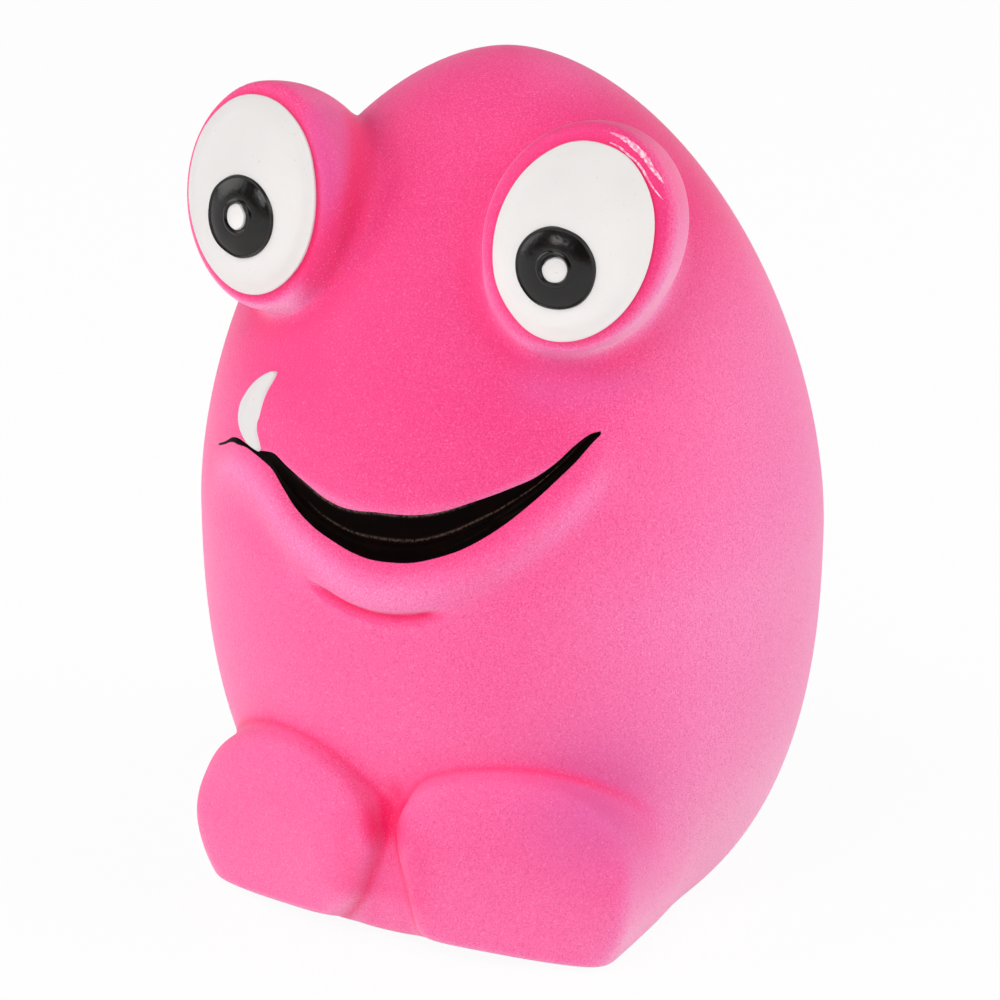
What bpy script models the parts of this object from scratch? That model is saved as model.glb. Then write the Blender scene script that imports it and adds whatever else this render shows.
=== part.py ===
"""Squeaky dog toy: a hollow soft-vinyl egg monster with pod eyes, a painted face and a squeaker in its base.

The toy stands on z = 0 and looks along -Y; its own left side is +X. All sizes are in metres.
"""
import math

import bmesh
import bpy
import numpy as np
from mathutils import Matrix, Vector

MM = 0.001
SIGN = {"left": 1, "right": -1}

# Moulded vinyl body
BODY_HEIGHT = 100.0 * MM
BODY_HALF_WIDTH = 38.3 * MM
BODY_HALF_DEPTH = 33.1 * MM
BODY_BACK = 1.45 * MM  # the body's axis lies this far behind the squeaker's, which is in the middle of the toy
WIDEST_HEIGHT = 43.9 * MM
BELLY_REACH = 53.3 * MM  # the belly's curve would close this far below the widest height; the base cuts it
CROWN_POWER = 1.78
BELLY_POWER = 2.48
SKIN_WALL = 2.5 * MM
BASE_WALL = 4.0 * MM
BASE_EDGE = 1.2 * MM

# Eye pods, bulbs that grow out of the head and carry the painted eyes
POD_TURN = {"left": 38.8, "right": 36.6}  # degrees round the body from the front
POD_BELOW_CROWN = {"left": 14.4 * MM, "right": 14.7 * MM}
POD_STANDOFF = 8.1 * MM  # a pod's middle stands this far out of the head
POD_HALF_WIDTH = 10.9 * MM
POD_HALF_HEIGHT = 13.1 * MM
POD_FRONT = 3.6 * MM
POD_FRONT_POWER = 2.3
POD_BACK = 17.0 * MM
POD_BACK_POWER = 2.0
POD_SPLAY = {"left": math.radians(7.4), "right": math.radians(3.5)}
POD_PITCH = math.radians(8.3)
POD_TILT = {"left": math.radians(20.0), "right": math.radians(-1.0)}
POD_FILLET = 3.0 * MM
RIM_GROOVE = 0.5 * MM
RIM_GROOVE_WIDTH = 0.9 * MM

# Feet, straight stubs that run forward out of the belly and end in flat splayed soles
FOOT_TURN = 23.2  # degrees round the body from the front
FOOT_STANDOFF = 2.2 * MM
FOOT_MIDDLE = 11.0 * MM
FOOT_RADIUS = 14.0 * MM
FOOT_KEYS = {
    # angle in the sole's plane from straight out, up over the top and in, and share of the radius
    "left": ((0.0, 1.15), (24.0, 1.13), (44.0, 1.06), (74.0, 0.95), (98.0, 0.91), (134.0, 0.945), (152.0, 0.89),
             (163.0, 0.81), (187.0, 0.72), (209.0, 0.77), (225.0, 0.88), (270.0, 1.00), (315.0, 1.20)),
    "right": ((0.0, 1.05), (25.0, 0.95), (51.0, 0.88), (85.0, 0.885), (111.0, 0.935), (141.0, 1.04), (163.0, 1.16),
              (187.0, 1.00), (205.0, 0.94), (225.0, 0.91), (270.0, 1.00), (315.0, 1.16)),
}
FOOT_BACK = 34.0 * MM
FOOT_BACK_POWER = 3.0
FOOT_SOLE_EDGE = 4.2 * MM
FOOT_SOLE_SOFT = 2.8  # roundness of the sole's upper and outer edge
FOOT_SOLE_CRISP = 6.0  # roundness of its lower and inner edge
FOOT_SOLE_INNER = 0.5  # share of the way in that counts as going down towards the crisp edge
FOOT_SOLE_BLEND = 8.0 * MM
FOOT_SPLAY = math.radians(14.9)
FOOT_LEAN = math.radians(7.0)  # the sole leans forward at its top
FOOT_LIFT = 2.5 * MM  # the underside rises by this much from the outer edge to the middle of the toy
FOOT_LIFT_SPAN = 26.0 * MM
FOOT_FILLET = 2.0 * MM

# Web, the upright strip of belly between the feet
WEB_MIDDLE = 7.0 * MM
WEB_STANDOFF = 5.8 * MM
WEB_LEAN = math.radians(11.0)
WEB_LIFT = 1.0 * MM  # the web ends this far above the ground
WEB_HALF_WIDTH = 10.0 * MM
WEB_HALF_HEIGHT = 12.0 * MM
WEB_DEPTH = 8.0 * MM
WEB_POWER = 3.0

# Face: turn round the body in degrees from the front, towards the toy's left, and heights in millimetres
MOUTH_KEYS = (
    # turn, upper lip, lower lip
    (-46.0, 54.8, 54.3),
    (-34.0, 56.8, 56.2),
    (-26.0, 57.0, 55.2),
    (-15.0, 54.8, 50.8),
    (0.0, 53.5, 48.0),
    (15.0, 55.2, 50.3),
    (30.0, 59.6, 57.1),
    (42.0, 64.0, 63.5),
)
FANG_KEYS = (
    # height, outer edge, inner edge
    (57.8, -32.6, -29.8),
    (58.6, -37.4, -30.7),
    (60.4, -39.4, -31.4),
    (63.0, -36.9, -30.6),
    (65.2, -30.7, -29.7),
)
MOUTH_DEPTH = 0.8 * MM
MOUTH_FULL_HALF = 2.0 * MM  # half the mouth's height where its groove is at full depth
LIP_RISE = 1.3 * MM
LIP_DROP = 3.0 * MM
LIP_HALF = 2.4 * MM
LIP_TURN = 36.0
LIP_FADE = 10.0
CHIN_DEPTH = 0.8 * MM
CHIN_DROP = 6.5 * MM
CHIN_HALF = 0.8 * MM
CHIN_TURN = 9.0
CHIN_FADE = 6.0

# Paint, modelled as thin coats that lie just off the skin
COAT_GAP = 0.3 * MM
COAT_THICKNESS = 0.4 * MM
WHITE_HALF_WIDTH = 8.8 * MM
WHITE_HALF_HEIGHT = 11.3 * MM
WHITE_PLACE = {"left": (0.05 * MM, -0.24 * MM), "right": (-0.75 * MM, 0.24 * MM)}
PUPIL_RADIUS = 4.7 * MM
PUPIL_RISE = 0.8 * MM
PUPIL_PLACE = {"left": (-0.27 * MM, -3.37 * MM), "right": (-1.16 * MM, -2.16 * MM)}
GLINT_RADIUS = 1.6 * MM
GLINT_GAP = 0.35 * MM

# Squeaker, a snap-in plug with a reed unit pressed into its bore
SEAT_GAP = 0.3 * MM
FLANGE_RADIUS = 10.5 * MM
FLANGE_THICKNESS = 1.2 * MM
FLANGE_INSET = 0.2 * MM
BARREL_RADIUS = 7.0 * MM
BARB_RADIUS = 8.6 * MM
BARB_HEIGHT = 2.2 * MM
BORE_RADIUS = 5.0 * MM
BORE_FLOOR = 3.0 * MM
BORE_DEPTH = 13.0 * MM
SOUND_HOLE_RADIUS = 1.6 * MM
CARRIER_HEIGHT = 11.2 * MM
CHANNEL_WIDTH = 2.4 * MM
CHANNEL_DEPTH = 2.0 * MM
CHANNEL_HEIGHT = 8.7 * MM
CLIP_HEIGHT = 3.5 * MM
REED_WIDTH = 4.0 * MM
REED_THICKNESS = 0.25 * MM
REED_LENGTH = 9.0 * MM
REED_GRIP = 2.5 * MM

# Mesh fineness
BALL_STEPS = 4
FOOT_OUTLINE_STEP = 10.0
STALK_SHARE = 0.7
SKIN_VOXEL = 1.1 * MM
CAVITY_VOXEL = 2.5 * MM
SKIN_TRIANGLES = 7600
CAVITY_TRIANGLES = 1600
RELAX_ROUNDS = 8
RELAX_SHARE = 0.5
ROUND_STEPS = 40
FACE_STEP = 0.05 * MM
SETTLE_STEP = 2.0 * MM

COLOURS = {
    "vinyl": ((0.96, 0.10, 0.27), 0.55),
    "white": ((0.86, 0.85, 0.84), 0.40),
    "black": ((0.010, 0.008, 0.008), 0.25),
    "squeaker": ((0.88, 0.87, 0.83), 0.45),
    "reed": ((0.80, 0.72, 0.50), 0.35),
}


# Scene and materials

def clear_scene():
    for item in list(bpy.data.objects):
        bpy.data.objects.remove(item, do_unlink=True)


def make_material(name):
    colour, roughness = COLOURS[name]
    material = bpy.data.materials.new(name)
    material.use_nodes = True
    shader = material.node_tree.nodes["Principled BSDF"]
    shader.inputs["Base Color"].default_value = (*colour, 1.0)
    shader.inputs["Roughness"].default_value = roughness
    shader.inputs["Metallic"].default_value = 0.0
    return material


def add_object(name, mesh, material=None):
    item = bpy.data.objects.new(name, mesh)
    bpy.context.collection.objects.link(item)
    if material:
        mesh.materials.append(material)
    return item


def as_helper(item):
    item.hide_render = True
    item.display_type = "WIRE"
    return item


def cut(item, cutter):
    modifier = item.modifiers.new(cutter.name, "BOOLEAN")
    modifier.operation = "DIFFERENCE"
    modifier.solver = "EXACT"
    modifier.object = as_helper(cutter)


def mesh_from(name, vertices, faces):
    mesh = bpy.data.meshes.new(name)
    mesh.from_pydata([tuple(v) for v in vertices], [], faces)
    mesh.validate()
    return mesh


def evaluated_arrays(item):
    """Vertices and faces of an object with its modifiers applied."""
    graph = bpy.context.evaluated_depsgraph_get()
    mesh = item.evaluated_get(graph).to_mesh()
    points = np.array([v.co[:] for v in mesh.vertices])
    faces = [tuple(p.vertices) for p in mesh.polygons]
    return points, faces


# The skin as a field: negative inside the vinyl's outer surface, positive outside, about a distance in metres

def smooth_through(keys, column, at):
    """A smooth curve through the first and the given column of a list of key points."""
    x = np.array([k[0] for k in keys])
    y = np.array([k[column] for k in keys])
    slope = np.gradient(y, x)
    at = np.clip(at, x[0], x[-1])
    i = np.clip(np.searchsorted(x, at) - 1, 0, len(x) - 2)
    span = x[i + 1] - x[i]
    t = (at - x[i]) / span
    rise = y[i] * (1 + 2 * t) * (1 - t) ** 2 + y[i + 1] * t * t * (3 - 2 * t)
    return rise + span * (slope[i] * t * (1 - t) ** 2 - slope[i + 1] * t * t * (1 - t))


def fade(value, limit, width):
    """1 within the limit on either side of 0, falling smoothly to 0 over the width."""
    t = np.clip((limit + width - np.abs(value)) / width, 0.0, 1.0)
    return t * t * (3 - 2 * t)


def swell(local, half_u, half_v, front, front_power, back, back_power, outline_power=2.0):
    """Level of an egg-like swelling: oval across, with its own reach and roundness to the front and back."""
    across = np.abs(local[:, 0] / half_u) ** outline_power + np.abs(local[:, 1] / half_v) ** outline_power
    across = across ** (1 / outline_power)
    ahead = local[:, 2] > 0
    reach = np.where(ahead, front, back)
    power = np.where(ahead, front_power, back_power)
    return (across ** power + (np.abs(local[:, 2]) / reach) ** power) ** (1 / power) - 1


def gradient(field, points):
    steps = np.eye(3) * FACE_STEP
    return np.stack([field(points + s) - field(points - s) for s in steps], axis=1) / (2 * FACE_STEP)


def distance(level, points):
    slope = np.linalg.norm(gradient(level, points), axis=1)
    return level(points) / np.maximum(slope, 1e-6)


def soft_union(a, b, reach):
    overlap = np.maximum(reach - np.abs(a - b), 0) / reach
    return np.minimum(a, b) - overlap * overlap * reach / 4


def on_face(turn, height):
    """Points on the egg at the given turns, in degrees, and heights, in metres."""
    angle = np.radians(turn)
    rise = height - WIDEST_HEIGHT
    reach = np.where(rise > 0, BODY_HEIGHT - WIDEST_HEIGHT, BELLY_REACH)
    power = np.where(rise > 0, CROWN_POWER, BELLY_POWER)
    girth = np.maximum(1 - (np.abs(rise) / reach) ** power, 0) ** (1 / power)
    x = BODY_HALF_WIDTH * girth * np.sin(angle)
    y = BODY_BACK - BODY_HALF_DEPTH * girth * np.cos(angle)
    return np.column_stack((x, y, height))


def off_face(turn, height, standoff):
    """One point that stands straight out from the egg by the standoff."""
    point = on_face(np.array([turn]), np.array([height]))[0]
    out = np.array((point[0], point[1] - BODY_BACK, 0))
    return point + standoff * out / np.linalg.norm(out)


def pod_frame(side):
    """Middle of an eye pod, and its width, height and forward axes as rows."""
    sign = SIGN[side]
    turn = Matrix.Rotation(sign * POD_SPLAY[side], 3, "Z") @ Matrix.Rotation(-POD_PITCH, 3, "X")
    turn = turn @ Matrix.Rotation(POD_TILT[side], 3, "Y")
    middle = off_face(sign * POD_TURN[side], BODY_HEIGHT - POD_BELOW_CROWN[side], POD_STANDOFF)
    axes = np.array([turn @ Vector(a) for a in ((1, 0, 0), (0, 0, 1), (0, -1, 0))])
    return middle, axes


def foot_frame(side):
    """Middle of a foot's front end, and the direction that its sole faces."""
    sign = SIGN[side]
    middle = off_face(sign * FOOT_TURN, FOOT_MIDDLE, FOOT_STANDOFF)
    level = math.cos(FOOT_LEAN)
    facing = np.array((sign * math.sin(FOOT_SPLAY) * level, -math.cos(FOOT_SPLAY) * level, -math.sin(FOOT_LEAN)))
    return middle, facing


def egg_level(points):
    local = points - np.array((0, BODY_BACK, WIDEST_HEIGHT))
    crown = BODY_HEIGHT - WIDEST_HEIGHT
    return swell(local, BODY_HALF_WIDTH, BODY_HALF_DEPTH, crown, CROWN_POWER, BELLY_REACH, BELLY_POWER)


def pod_distance(points, side):
    middle, axes = pod_frame(side)
    sizes = (POD_HALF_WIDTH, POD_HALF_HEIGHT, POD_FRONT, POD_FRONT_POWER, POD_BACK, POD_BACK_POWER)
    reach = distance(lambda p: swell((p - middle) @ axes.T, *sizes), points)
    local = (points - middle) @ axes.T
    across = (local[:, :2] - WHITE_PLACE[side]) / (WHITE_HALF_WIDTH, WHITE_HALF_HEIGHT)
    ring = np.linalg.norm(across, axis=1) - 1
    groove = np.exp(-(ring * WHITE_HALF_WIDTH / RIM_GROOVE_WIDTH) ** 2) * (local[:, 2] > 0)
    return reach + RIM_GROOVE * groove


def foot_radius(side, angle):
    """Reach of a foot's outline at angles in degrees, from 0 to 360."""
    keys = [(a + turn, share) for turn in (-360.0, 0.0, 360.0) for a, share in FOOT_KEYS[side]]
    return FOOT_RADIUS * smooth_through(keys, 1, angle)


def foot_underside(x):
    return FOOT_LIFT * (1 - np.abs(x) / FOOT_LIFT_SPAN)


def foot_distance(points, side):
    middle, facing = foot_frame(side)

    def level(p):
        out = SIGN[side] * (p[:, 0] - middle[0]) / math.cos(FOOT_SPLAY)
        rise = p[:, 2] - middle[2]
        radius = foot_radius(side, np.degrees(np.arctan2(rise, out)) % 360)
        local = np.column_stack((out / radius, rise / radius, (p - middle) @ facing))
        down = rise + FOOT_SOLE_INNER * np.minimum(out, 0)
        crisp = fade(np.maximum(down + FOOT_SOLE_BLEND / 2, 0), 0.0, FOOT_SOLE_BLEND)
        power = FOOT_SOLE_SOFT + (FOOT_SOLE_CRISP - FOOT_SOLE_SOFT) * crisp
        return swell(local, 1.0, 1.0, FOOT_SOLE_EDGE, power, FOOT_BACK, FOOT_BACK_POWER)

    above = points[:, 2] - foot_underside(points[:, 0])
    return -soft_union(-distance(level, points), above, BASE_EDGE)


def web_middle():
    return off_face(0.0, WEB_MIDDLE, WEB_STANDOFF) + (0, WEB_DEPTH, 0)


def web_distance(points):
    middle = web_middle()

    def level(p):
        ahead = middle[1] - p[:, 1]
        rise = p[:, 2] - middle[2]
        forward = ahead * math.cos(WEB_LEAN) - rise * math.sin(WEB_LEAN)
        up = rise * math.cos(WEB_LEAN) + ahead * math.sin(WEB_LEAN)
        local = np.column_stack((p[:, 0], up, forward))
        return swell(local, WEB_HALF_WIDTH, WEB_HALF_HEIGHT, WEB_DEPTH, WEB_POWER, WEB_DEPTH, WEB_POWER)

    return -soft_union(-distance(level, points), points[:, 2] - WEB_LIFT, BASE_EDGE)


def turn_of(points):
    ahead = BODY_BACK - points[:, 1]
    return np.degrees(np.arctan2(points[:, 0] / BODY_HALF_WIDTH, ahead / BODY_HALF_DEPTH))


def lip_relief(points):
    """How far the lips and the chin crease raise the skin."""
    turn = turn_of(points)
    upper = smooth_through(MOUTH_KEYS, 1, turn) * MM
    lower = smooth_through(MOUTH_KEYS, 2, turn) * MM
    height = points[:, 2]
    middle = (upper + lower) / 2
    half = (upper - lower) / 2
    ends = fade(turn, LIP_TURN, LIP_FADE)
    lip = LIP_RISE * np.exp(-((height - lower + LIP_DROP) / LIP_HALF) ** 2)
    depth = MOUTH_DEPTH * np.minimum(1.0, (half / MOUTH_FULL_HALF) ** 2)
    groove = depth * np.exp(-((height - middle) / np.maximum(half, FACE_STEP)) ** 4)
    chin = CHIN_DEPTH * np.exp(-((height - lower + CHIN_DROP) / CHIN_HALF) ** 2)
    return (lip - groove) * ends - chin * fade(turn, CHIN_TURN, CHIN_FADE)


def skin_field(points):
    body = distance(egg_level, points) - lip_relief(points)
    body = soft_union(body, web_distance(points), FOOT_FILLET)
    for side in SIGN:
        body = soft_union(body, foot_distance(points, side), FOOT_FILLET)
        body = soft_union(body, pod_distance(points, side), POD_FILLET)
    return -soft_union(-body, points[:, 2], BASE_EDGE)


def cavity_field(points):
    return np.maximum(skin_field(points) + SKIN_WALL, BASE_WALL - points[:, 2])


def settle(field, points, level=0.0, rounds=14):
    """Slide points along the field's slope until they lie at the given level."""
    points = np.array(points, dtype=float)
    for _ in range(rounds):
        slope = gradient(field, points)
        size = np.maximum((slope ** 2).sum(axis=1), 0.05)
        step = ((field(points) - level) / size)[:, None] * slope
        length = np.linalg.norm(step, axis=1, keepdims=True)
        points -= step * np.minimum(1.0, SETTLE_STEP / np.maximum(length, 1e-9))
    return points


# Body: rough swellings are fused, laid on the field and thinned out where the skin is flat

def rough_ball(middle, axes, halves):
    mesh = bpy.data.meshes.new("rough")
    work = bmesh.new()
    bmesh.ops.create_icosphere(work, subdivisions=BALL_STEPS, radius=1.0)
    for vertex in work.verts:
        vertex.co = Vector(middle + (np.array(vertex.co) * halves) @ axes)
    work.to_mesh(mesh)
    work.free()
    return mesh


def rough_foot(side, inset):
    """A foot's outline pushed straight back from its splayed sole."""
    middle, facing = foot_frame(side)
    angle = np.arange(0.0, 360.0, FOOT_OUTLINE_STEP)
    radius = foot_radius(side, angle) - inset
    x = middle[0] + SIGN[side] * radius * np.cos(np.radians(angle)) * math.cos(FOOT_SPLAY)
    z = np.maximum(middle[2] + radius * np.sin(np.radians(angle)), inset + foot_underside(x))
    slant = (x - middle[0]) * facing[0] + (z - middle[2]) * facing[2]
    front = middle[1] + (FOOT_SOLE_EDGE - inset - slant) / facing[1]
    back = np.full(len(angle), middle[1] + FOOT_BACK - inset)
    mesh = bpy.data.meshes.new("rough")
    work = bmesh.new()
    ends = [[work.verts.new(place) for place in zip(x, y, z)] for y in (front, back)]
    caps = [work.faces.new(ring) for ring in ends]
    edges = [edge for cap in caps for edge in cap.edges]
    bmesh.ops.bridge_loops(work, edges=edges)
    bmesh.ops.recalc_face_normals(work, faces=work.faces)
    work.to_mesh(mesh)
    work.free()
    return mesh


def rough_toy(name, inset, voxel):
    """One closed rough mesh of the egg, web, feet and pods, all shrunk by the inset."""
    upright = np.eye(3)
    egg = np.array((BODY_HALF_WIDTH, BODY_HALF_DEPTH, BODY_HEIGHT / 2))
    web = np.array((WEB_HALF_WIDTH, WEB_DEPTH, WEB_HALF_HEIGHT))
    pod = np.array((POD_HALF_WIDTH, POD_HALF_HEIGHT, POD_FRONT))
    stalk = np.array((POD_HALF_WIDTH * STALK_SHARE, POD_HALF_HEIGHT * STALK_SHARE, POD_BACK / 2))
    pieces = [rough_ball(np.array((0, BODY_BACK, BODY_HEIGHT / 2)), upright, egg - inset)]
    pieces.append(rough_ball(web_middle(), upright, web - inset))
    for side in SIGN:
        middle, axes = pod_frame(side)
        pieces.append(rough_ball(middle, axes, pod - inset))
        pieces.append(rough_ball(middle - axes[2] * POD_BACK / 2, axes, stalk - inset))
        pieces.append(rough_foot(side, inset))
    work = bmesh.new()
    for piece in pieces:
        work.from_mesh(piece)
        bpy.data.meshes.remove(piece)
    mesh = bpy.data.meshes.new(name)
    work.to_mesh(mesh)
    work.free()
    item = as_helper(add_object(name, mesh))
    remesh = item.modifiers.new("fuse", "REMESH")
    remesh.mode = "VOXEL"
    remesh.voxel_size = voxel
    return item


def relax(points, faces, share):
    """Move each point part of the way to the middle of its neighbours."""
    total = np.zeros_like(points)
    count = np.zeros(len(points))
    for face in faces:
        for a, b in zip(face, face[1:] + face[:1]):
            total[a] += points[b]
            total[b] += points[a]
            count[a] += 1
            count[b] += 1
    return points + share * (total / np.maximum(count, 1)[:, None] - points)


def laid_on(field, name, inset, voxel, triangles):
    """A closed mesh of the field's surface with about the given number of triangles."""
    rough = rough_toy(name + "_rough", inset, voxel)
    points, faces = evaluated_arrays(rough)
    bpy.data.objects.remove(rough, do_unlink=True)
    for _ in range(RELAX_ROUNDS):
        points = settle(field, points, rounds=3)
        points = relax(points, faces, RELAX_SHARE)
    points = settle(field, points)
    full = as_helper(add_object(name + "_full", mesh_from(name + "_full", points, faces)))
    thin = full.modifiers.new("thin", "DECIMATE")
    thin.ratio = min(1.0, triangles / (2.0 * len(faces)))
    thin.use_collapse_triangulate = True
    points, faces = evaluated_arrays(full)
    bpy.data.objects.remove(full, do_unlink=True)
    return add_object(name, mesh_from(name, settle(field, points), faces))


def turned(name, profile, material=None):
    """A closed profile of radius and height, turned about the Z axis."""
    mesh = bpy.data.meshes.new(name)
    work = bmesh.new()
    ring = [work.verts.new((r, 0, z)) for r, z in profile]
    edges = [work.edges.new((a, b)) for a, b in zip(ring, ring[1:] + ring[:1])]
    bmesh.ops.spin(work, geom=ring + edges, cent=(0, 0, 0), axis=(0, 0, 1), angle=math.tau,
                   steps=ROUND_STEPS, use_merge=True)
    bmesh.ops.remove_doubles(work, verts=work.verts, dist=1e-7)
    bmesh.ops.recalc_face_normals(work, faces=work.faces)
    work.to_mesh(mesh)
    work.free()
    mesh.shade_smooth()
    mesh.set_sharp_from_angle(angle=math.radians(35))
    return add_object(name, mesh, material)


def extruded(name, outline, low, high, material=None, axis="Z"):
    """A flat outline pushed along Z from low to high, or an X-Z outline pushed along Y."""
    place = (lambda a, b, c: (a, b, c)) if axis == "Z" else (lambda a, b, c: (a, c, b))
    mesh = bpy.data.meshes.new(name)
    work = bmesh.new()
    ends = [[work.verts.new(place(a, b, c)) for a, b in outline] for c in (low, high)]
    work.faces.new(ends[0])
    work.faces.new(ends[1])
    for i in range(len(outline)):
        j = (i + 1) % len(outline)
        work.faces.new((ends[0][i], ends[0][j], ends[1][j], ends[1][i]))
    bmesh.ops.recalc_face_normals(work, faces=work.faces)
    work.to_mesh(mesh)
    work.free()
    return add_object(name, mesh, material)


def make_body(vinyl):
    body = laid_on(skin_field, "vinyl_body", 0.0, SKIN_VOXEL, SKIN_TRIANGLES)
    body.data.materials.append(vinyl)
    body.data.shade_smooth()
    cavity = laid_on(cavity_field, "cavity", SKIN_WALL, CAVITY_VOXEL, CAVITY_TRIANGLES)
    cut(body, cavity)
    clear = BASE_WALL
    hole = BARREL_RADIUS + SEAT_GAP
    seat = FLANGE_RADIUS + SEAT_GAP
    seat_depth = FLANGE_INSET + FLANGE_THICKNESS + SEAT_GAP
    profile = ((0, -clear), (seat, -clear), (seat, seat_depth), (hole, seat_depth),
               (hole, BASE_WALL + clear), (0, BASE_WALL + clear))
    cut(body, turned("squeaker_seat", profile))
    return body


# Squeaker

def make_cup(material):
    flange_top = FLANGE_INSET + FLANGE_THICKNESS
    barb = BASE_WALL + SEAT_GAP
    barrel_top = BORE_FLOOR + BORE_DEPTH
    profile = (
        (SOUND_HOLE_RADIUS, FLANGE_INSET), (FLANGE_RADIUS, FLANGE_INSET), (FLANGE_RADIUS, flange_top),
        (BARREL_RADIUS, flange_top), (BARREL_RADIUS, barb), (BARB_RADIUS, barb),
        (BARREL_RADIUS, barb + BARB_HEIGHT), (BARREL_RADIUS, barrel_top), (BORE_RADIUS, barrel_top),
        (BORE_RADIUS, BORE_FLOOR), (SOUND_HOLE_RADIUS, BORE_FLOOR),
    )
    return turned("squeaker_cup", profile, material)


def half_round(radius, flat):
    """Outline of the part of a disc that lies beyond a flat, on the +Y side."""
    start = math.asin(flat / radius)
    sweep = math.pi - 2 * start
    steps = ROUND_STEPS // 2
    angles = [start + sweep * i / steps for i in range(steps + 1)]
    return [(radius * math.cos(a), radius * math.sin(a)) for a in angles]


def make_reed_unit(plastic, springy):
    radius = BORE_RADIUS - SEAT_GAP
    flat = REED_THICKNESS / 2 + SEAT_GAP
    floor = BORE_FLOOR + SEAT_GAP
    outline = half_round(radius, flat)
    extruded("reed_clip", outline, floor, floor + CLIP_HEIGHT, plastic)
    carrier = extruded("reed_carrier", [(x, -y) for x, y in outline], floor, floor + CARRIER_HEIGHT, plastic)
    half = CHANNEL_WIDTH / 2
    slot = [(-half, -flat - CHANNEL_DEPTH), (half, -flat - CHANNEL_DEPTH), (half, 0), (-half, 0)]
    cut(carrier, extruded("air_channel", slot, floor - CHANNEL_DEPTH, floor + CHANNEL_HEIGHT))

    # The reed is held between the clip and the carrier, and bends at the clip's top edge
    pivot = bpy.data.objects.new("reed_pivot", None)
    bpy.context.collection.objects.link(pivot)
    pivot.location = (0, 0, floor + CLIP_HEIGHT)
    corner = REED_WIDTH / 2
    tip = REED_LENGTH - REED_GRIP - corner
    arc = [(corner * math.cos(a), tip + corner * math.sin(a)) for a in np.linspace(0, math.pi, 11)]
    blade = [(-corner, -REED_GRIP), (corner, -REED_GRIP)] + arc
    reed = extruded("reed", blade, -REED_THICKNESS / 2, REED_THICKNESS / 2, springy, axis="Y")
    reed.parent = pivot


# Paint coats

def coat(name, sheet, faces, low, high, material):
    """A closed coat over a sheet of points, between two heights above the skin given for each point."""
    under = settle(lambda p: skin_field(p) - low, sheet)
    over = settle(lambda p: skin_field(p) - high, sheet)
    count = len(sheet)
    sides = {}
    for face in faces:
        for a, b in zip(face, face[1:] + face[:1]):
            if sides.pop((b, a), None) is None:
                sides[(a, b)] = True
    solid = [tuple(i + count for i in f) for f in faces] + [tuple(reversed(f)) for f in faces]
    solid += [(a, b, b + count, a + count) for a, b in sides]
    mesh = mesh_from(name, np.vstack((under, over)), solid)
    work = bmesh.new()
    work.from_mesh(mesh)
    bmesh.ops.triangulate(work, faces=work.faces)
    work.to_mesh(mesh)
    work.free()
    mesh.shade_smooth()
    mesh.set_sharp_from_angle(angle=math.radians(40))
    return add_object(name, mesh, material)


def disc_sheet(rings, spokes, hole=0.0):
    """Points and faces of a unit disc, or of a ring with a hole, in its own plane."""
    radii = np.linspace(hole, 1.0, rings + 1)
    angles = np.arange(spokes) * math.tau / spokes
    first = 0 if hole else 1
    points = [] if hole else [(0.0, 0.0)]
    for r in radii[first:]:
        points += [(r * math.cos(a), r * math.sin(a)) for a in angles]
    start = 0 if hole else 1
    faces = []
    for k in range(len(radii[first:]) - 1):
        inner = start + k * spokes
        for i in range(spokes):
            j = (i + 1) % spokes
            faces.append((inner + i, inner + spokes + i, inner + spokes + j, inner + j))
    if not hole:
        faces += [(0, 1 + i, 1 + (i + 1) % spokes) for i in range(spokes)]
    return np.array(points), faces


def on_pod(side, points):
    middle, axes = pod_frame(side)
    local = np.column_stack((points, np.full(len(points), POD_FRONT + COAT_THICKNESS)))
    return middle + local @ axes


def make_eye(side, white, black):
    flat, faces = disc_sheet(5, 32)
    sheet = on_pod(side, flat * (WHITE_HALF_WIDTH, WHITE_HALF_HEIGHT) + WHITE_PLACE[side])
    floor = np.full(len(sheet), COAT_GAP)
    coat(f"eye_white_{side}", sheet, faces, floor, floor + COAT_THICKNESS, white)
    above = 2 * COAT_GAP + COAT_THICKNESS
    hole = (GLINT_RADIUS + GLINT_GAP) / PUPIL_RADIUS
    ring, faces = disc_sheet(4, 28, hole)
    sheet = on_pod(side, ring * PUPIL_RADIUS + PUPIL_PLACE[side])
    middle = (np.linalg.norm(ring, axis=1) - hole) / (1 - hole) * 2 - 1
    floor = np.full(len(sheet), above)
    rise = COAT_THICKNESS / 2 + PUPIL_RISE * np.sqrt(np.maximum(0, 1 - middle ** 2))
    coat(f"pupil_{side}", sheet, faces, floor, floor + rise, black)
    dot, faces = disc_sheet(1, 16)
    sheet = on_pod(side, dot * GLINT_RADIUS + PUPIL_PLACE[side])
    floor = np.full(len(sheet), above)
    coat(f"glint_{side}", sheet, faces, floor, floor + COAT_THICKNESS, white)


def strip_faces(rows, columns):
    return [(r * columns + c, r * columns + c + 1, (r + 1) * columns + c + 1, (r + 1) * columns + c)
            for r in range(rows - 1) for c in range(columns - 1)]


def make_mouth(black):
    columns = 45
    turn = np.linspace(MOUTH_KEYS[0][0], MOUTH_KEYS[-1][0], columns)
    upper = smooth_through(MOUTH_KEYS, 1, turn) * MM
    lower = smooth_through(MOUTH_KEYS, 2, turn) * MM
    shares = (0.0, 0.33, 0.67, 1.0)
    sheet = np.vstack([on_face(turn, lower + (upper - lower) * s) for s in shares])
    floor = np.full(len(sheet), COAT_GAP)
    coat("mouth_paint", sheet, strip_faces(len(shares), columns), floor, floor + COAT_THICKNESS, black)


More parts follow.
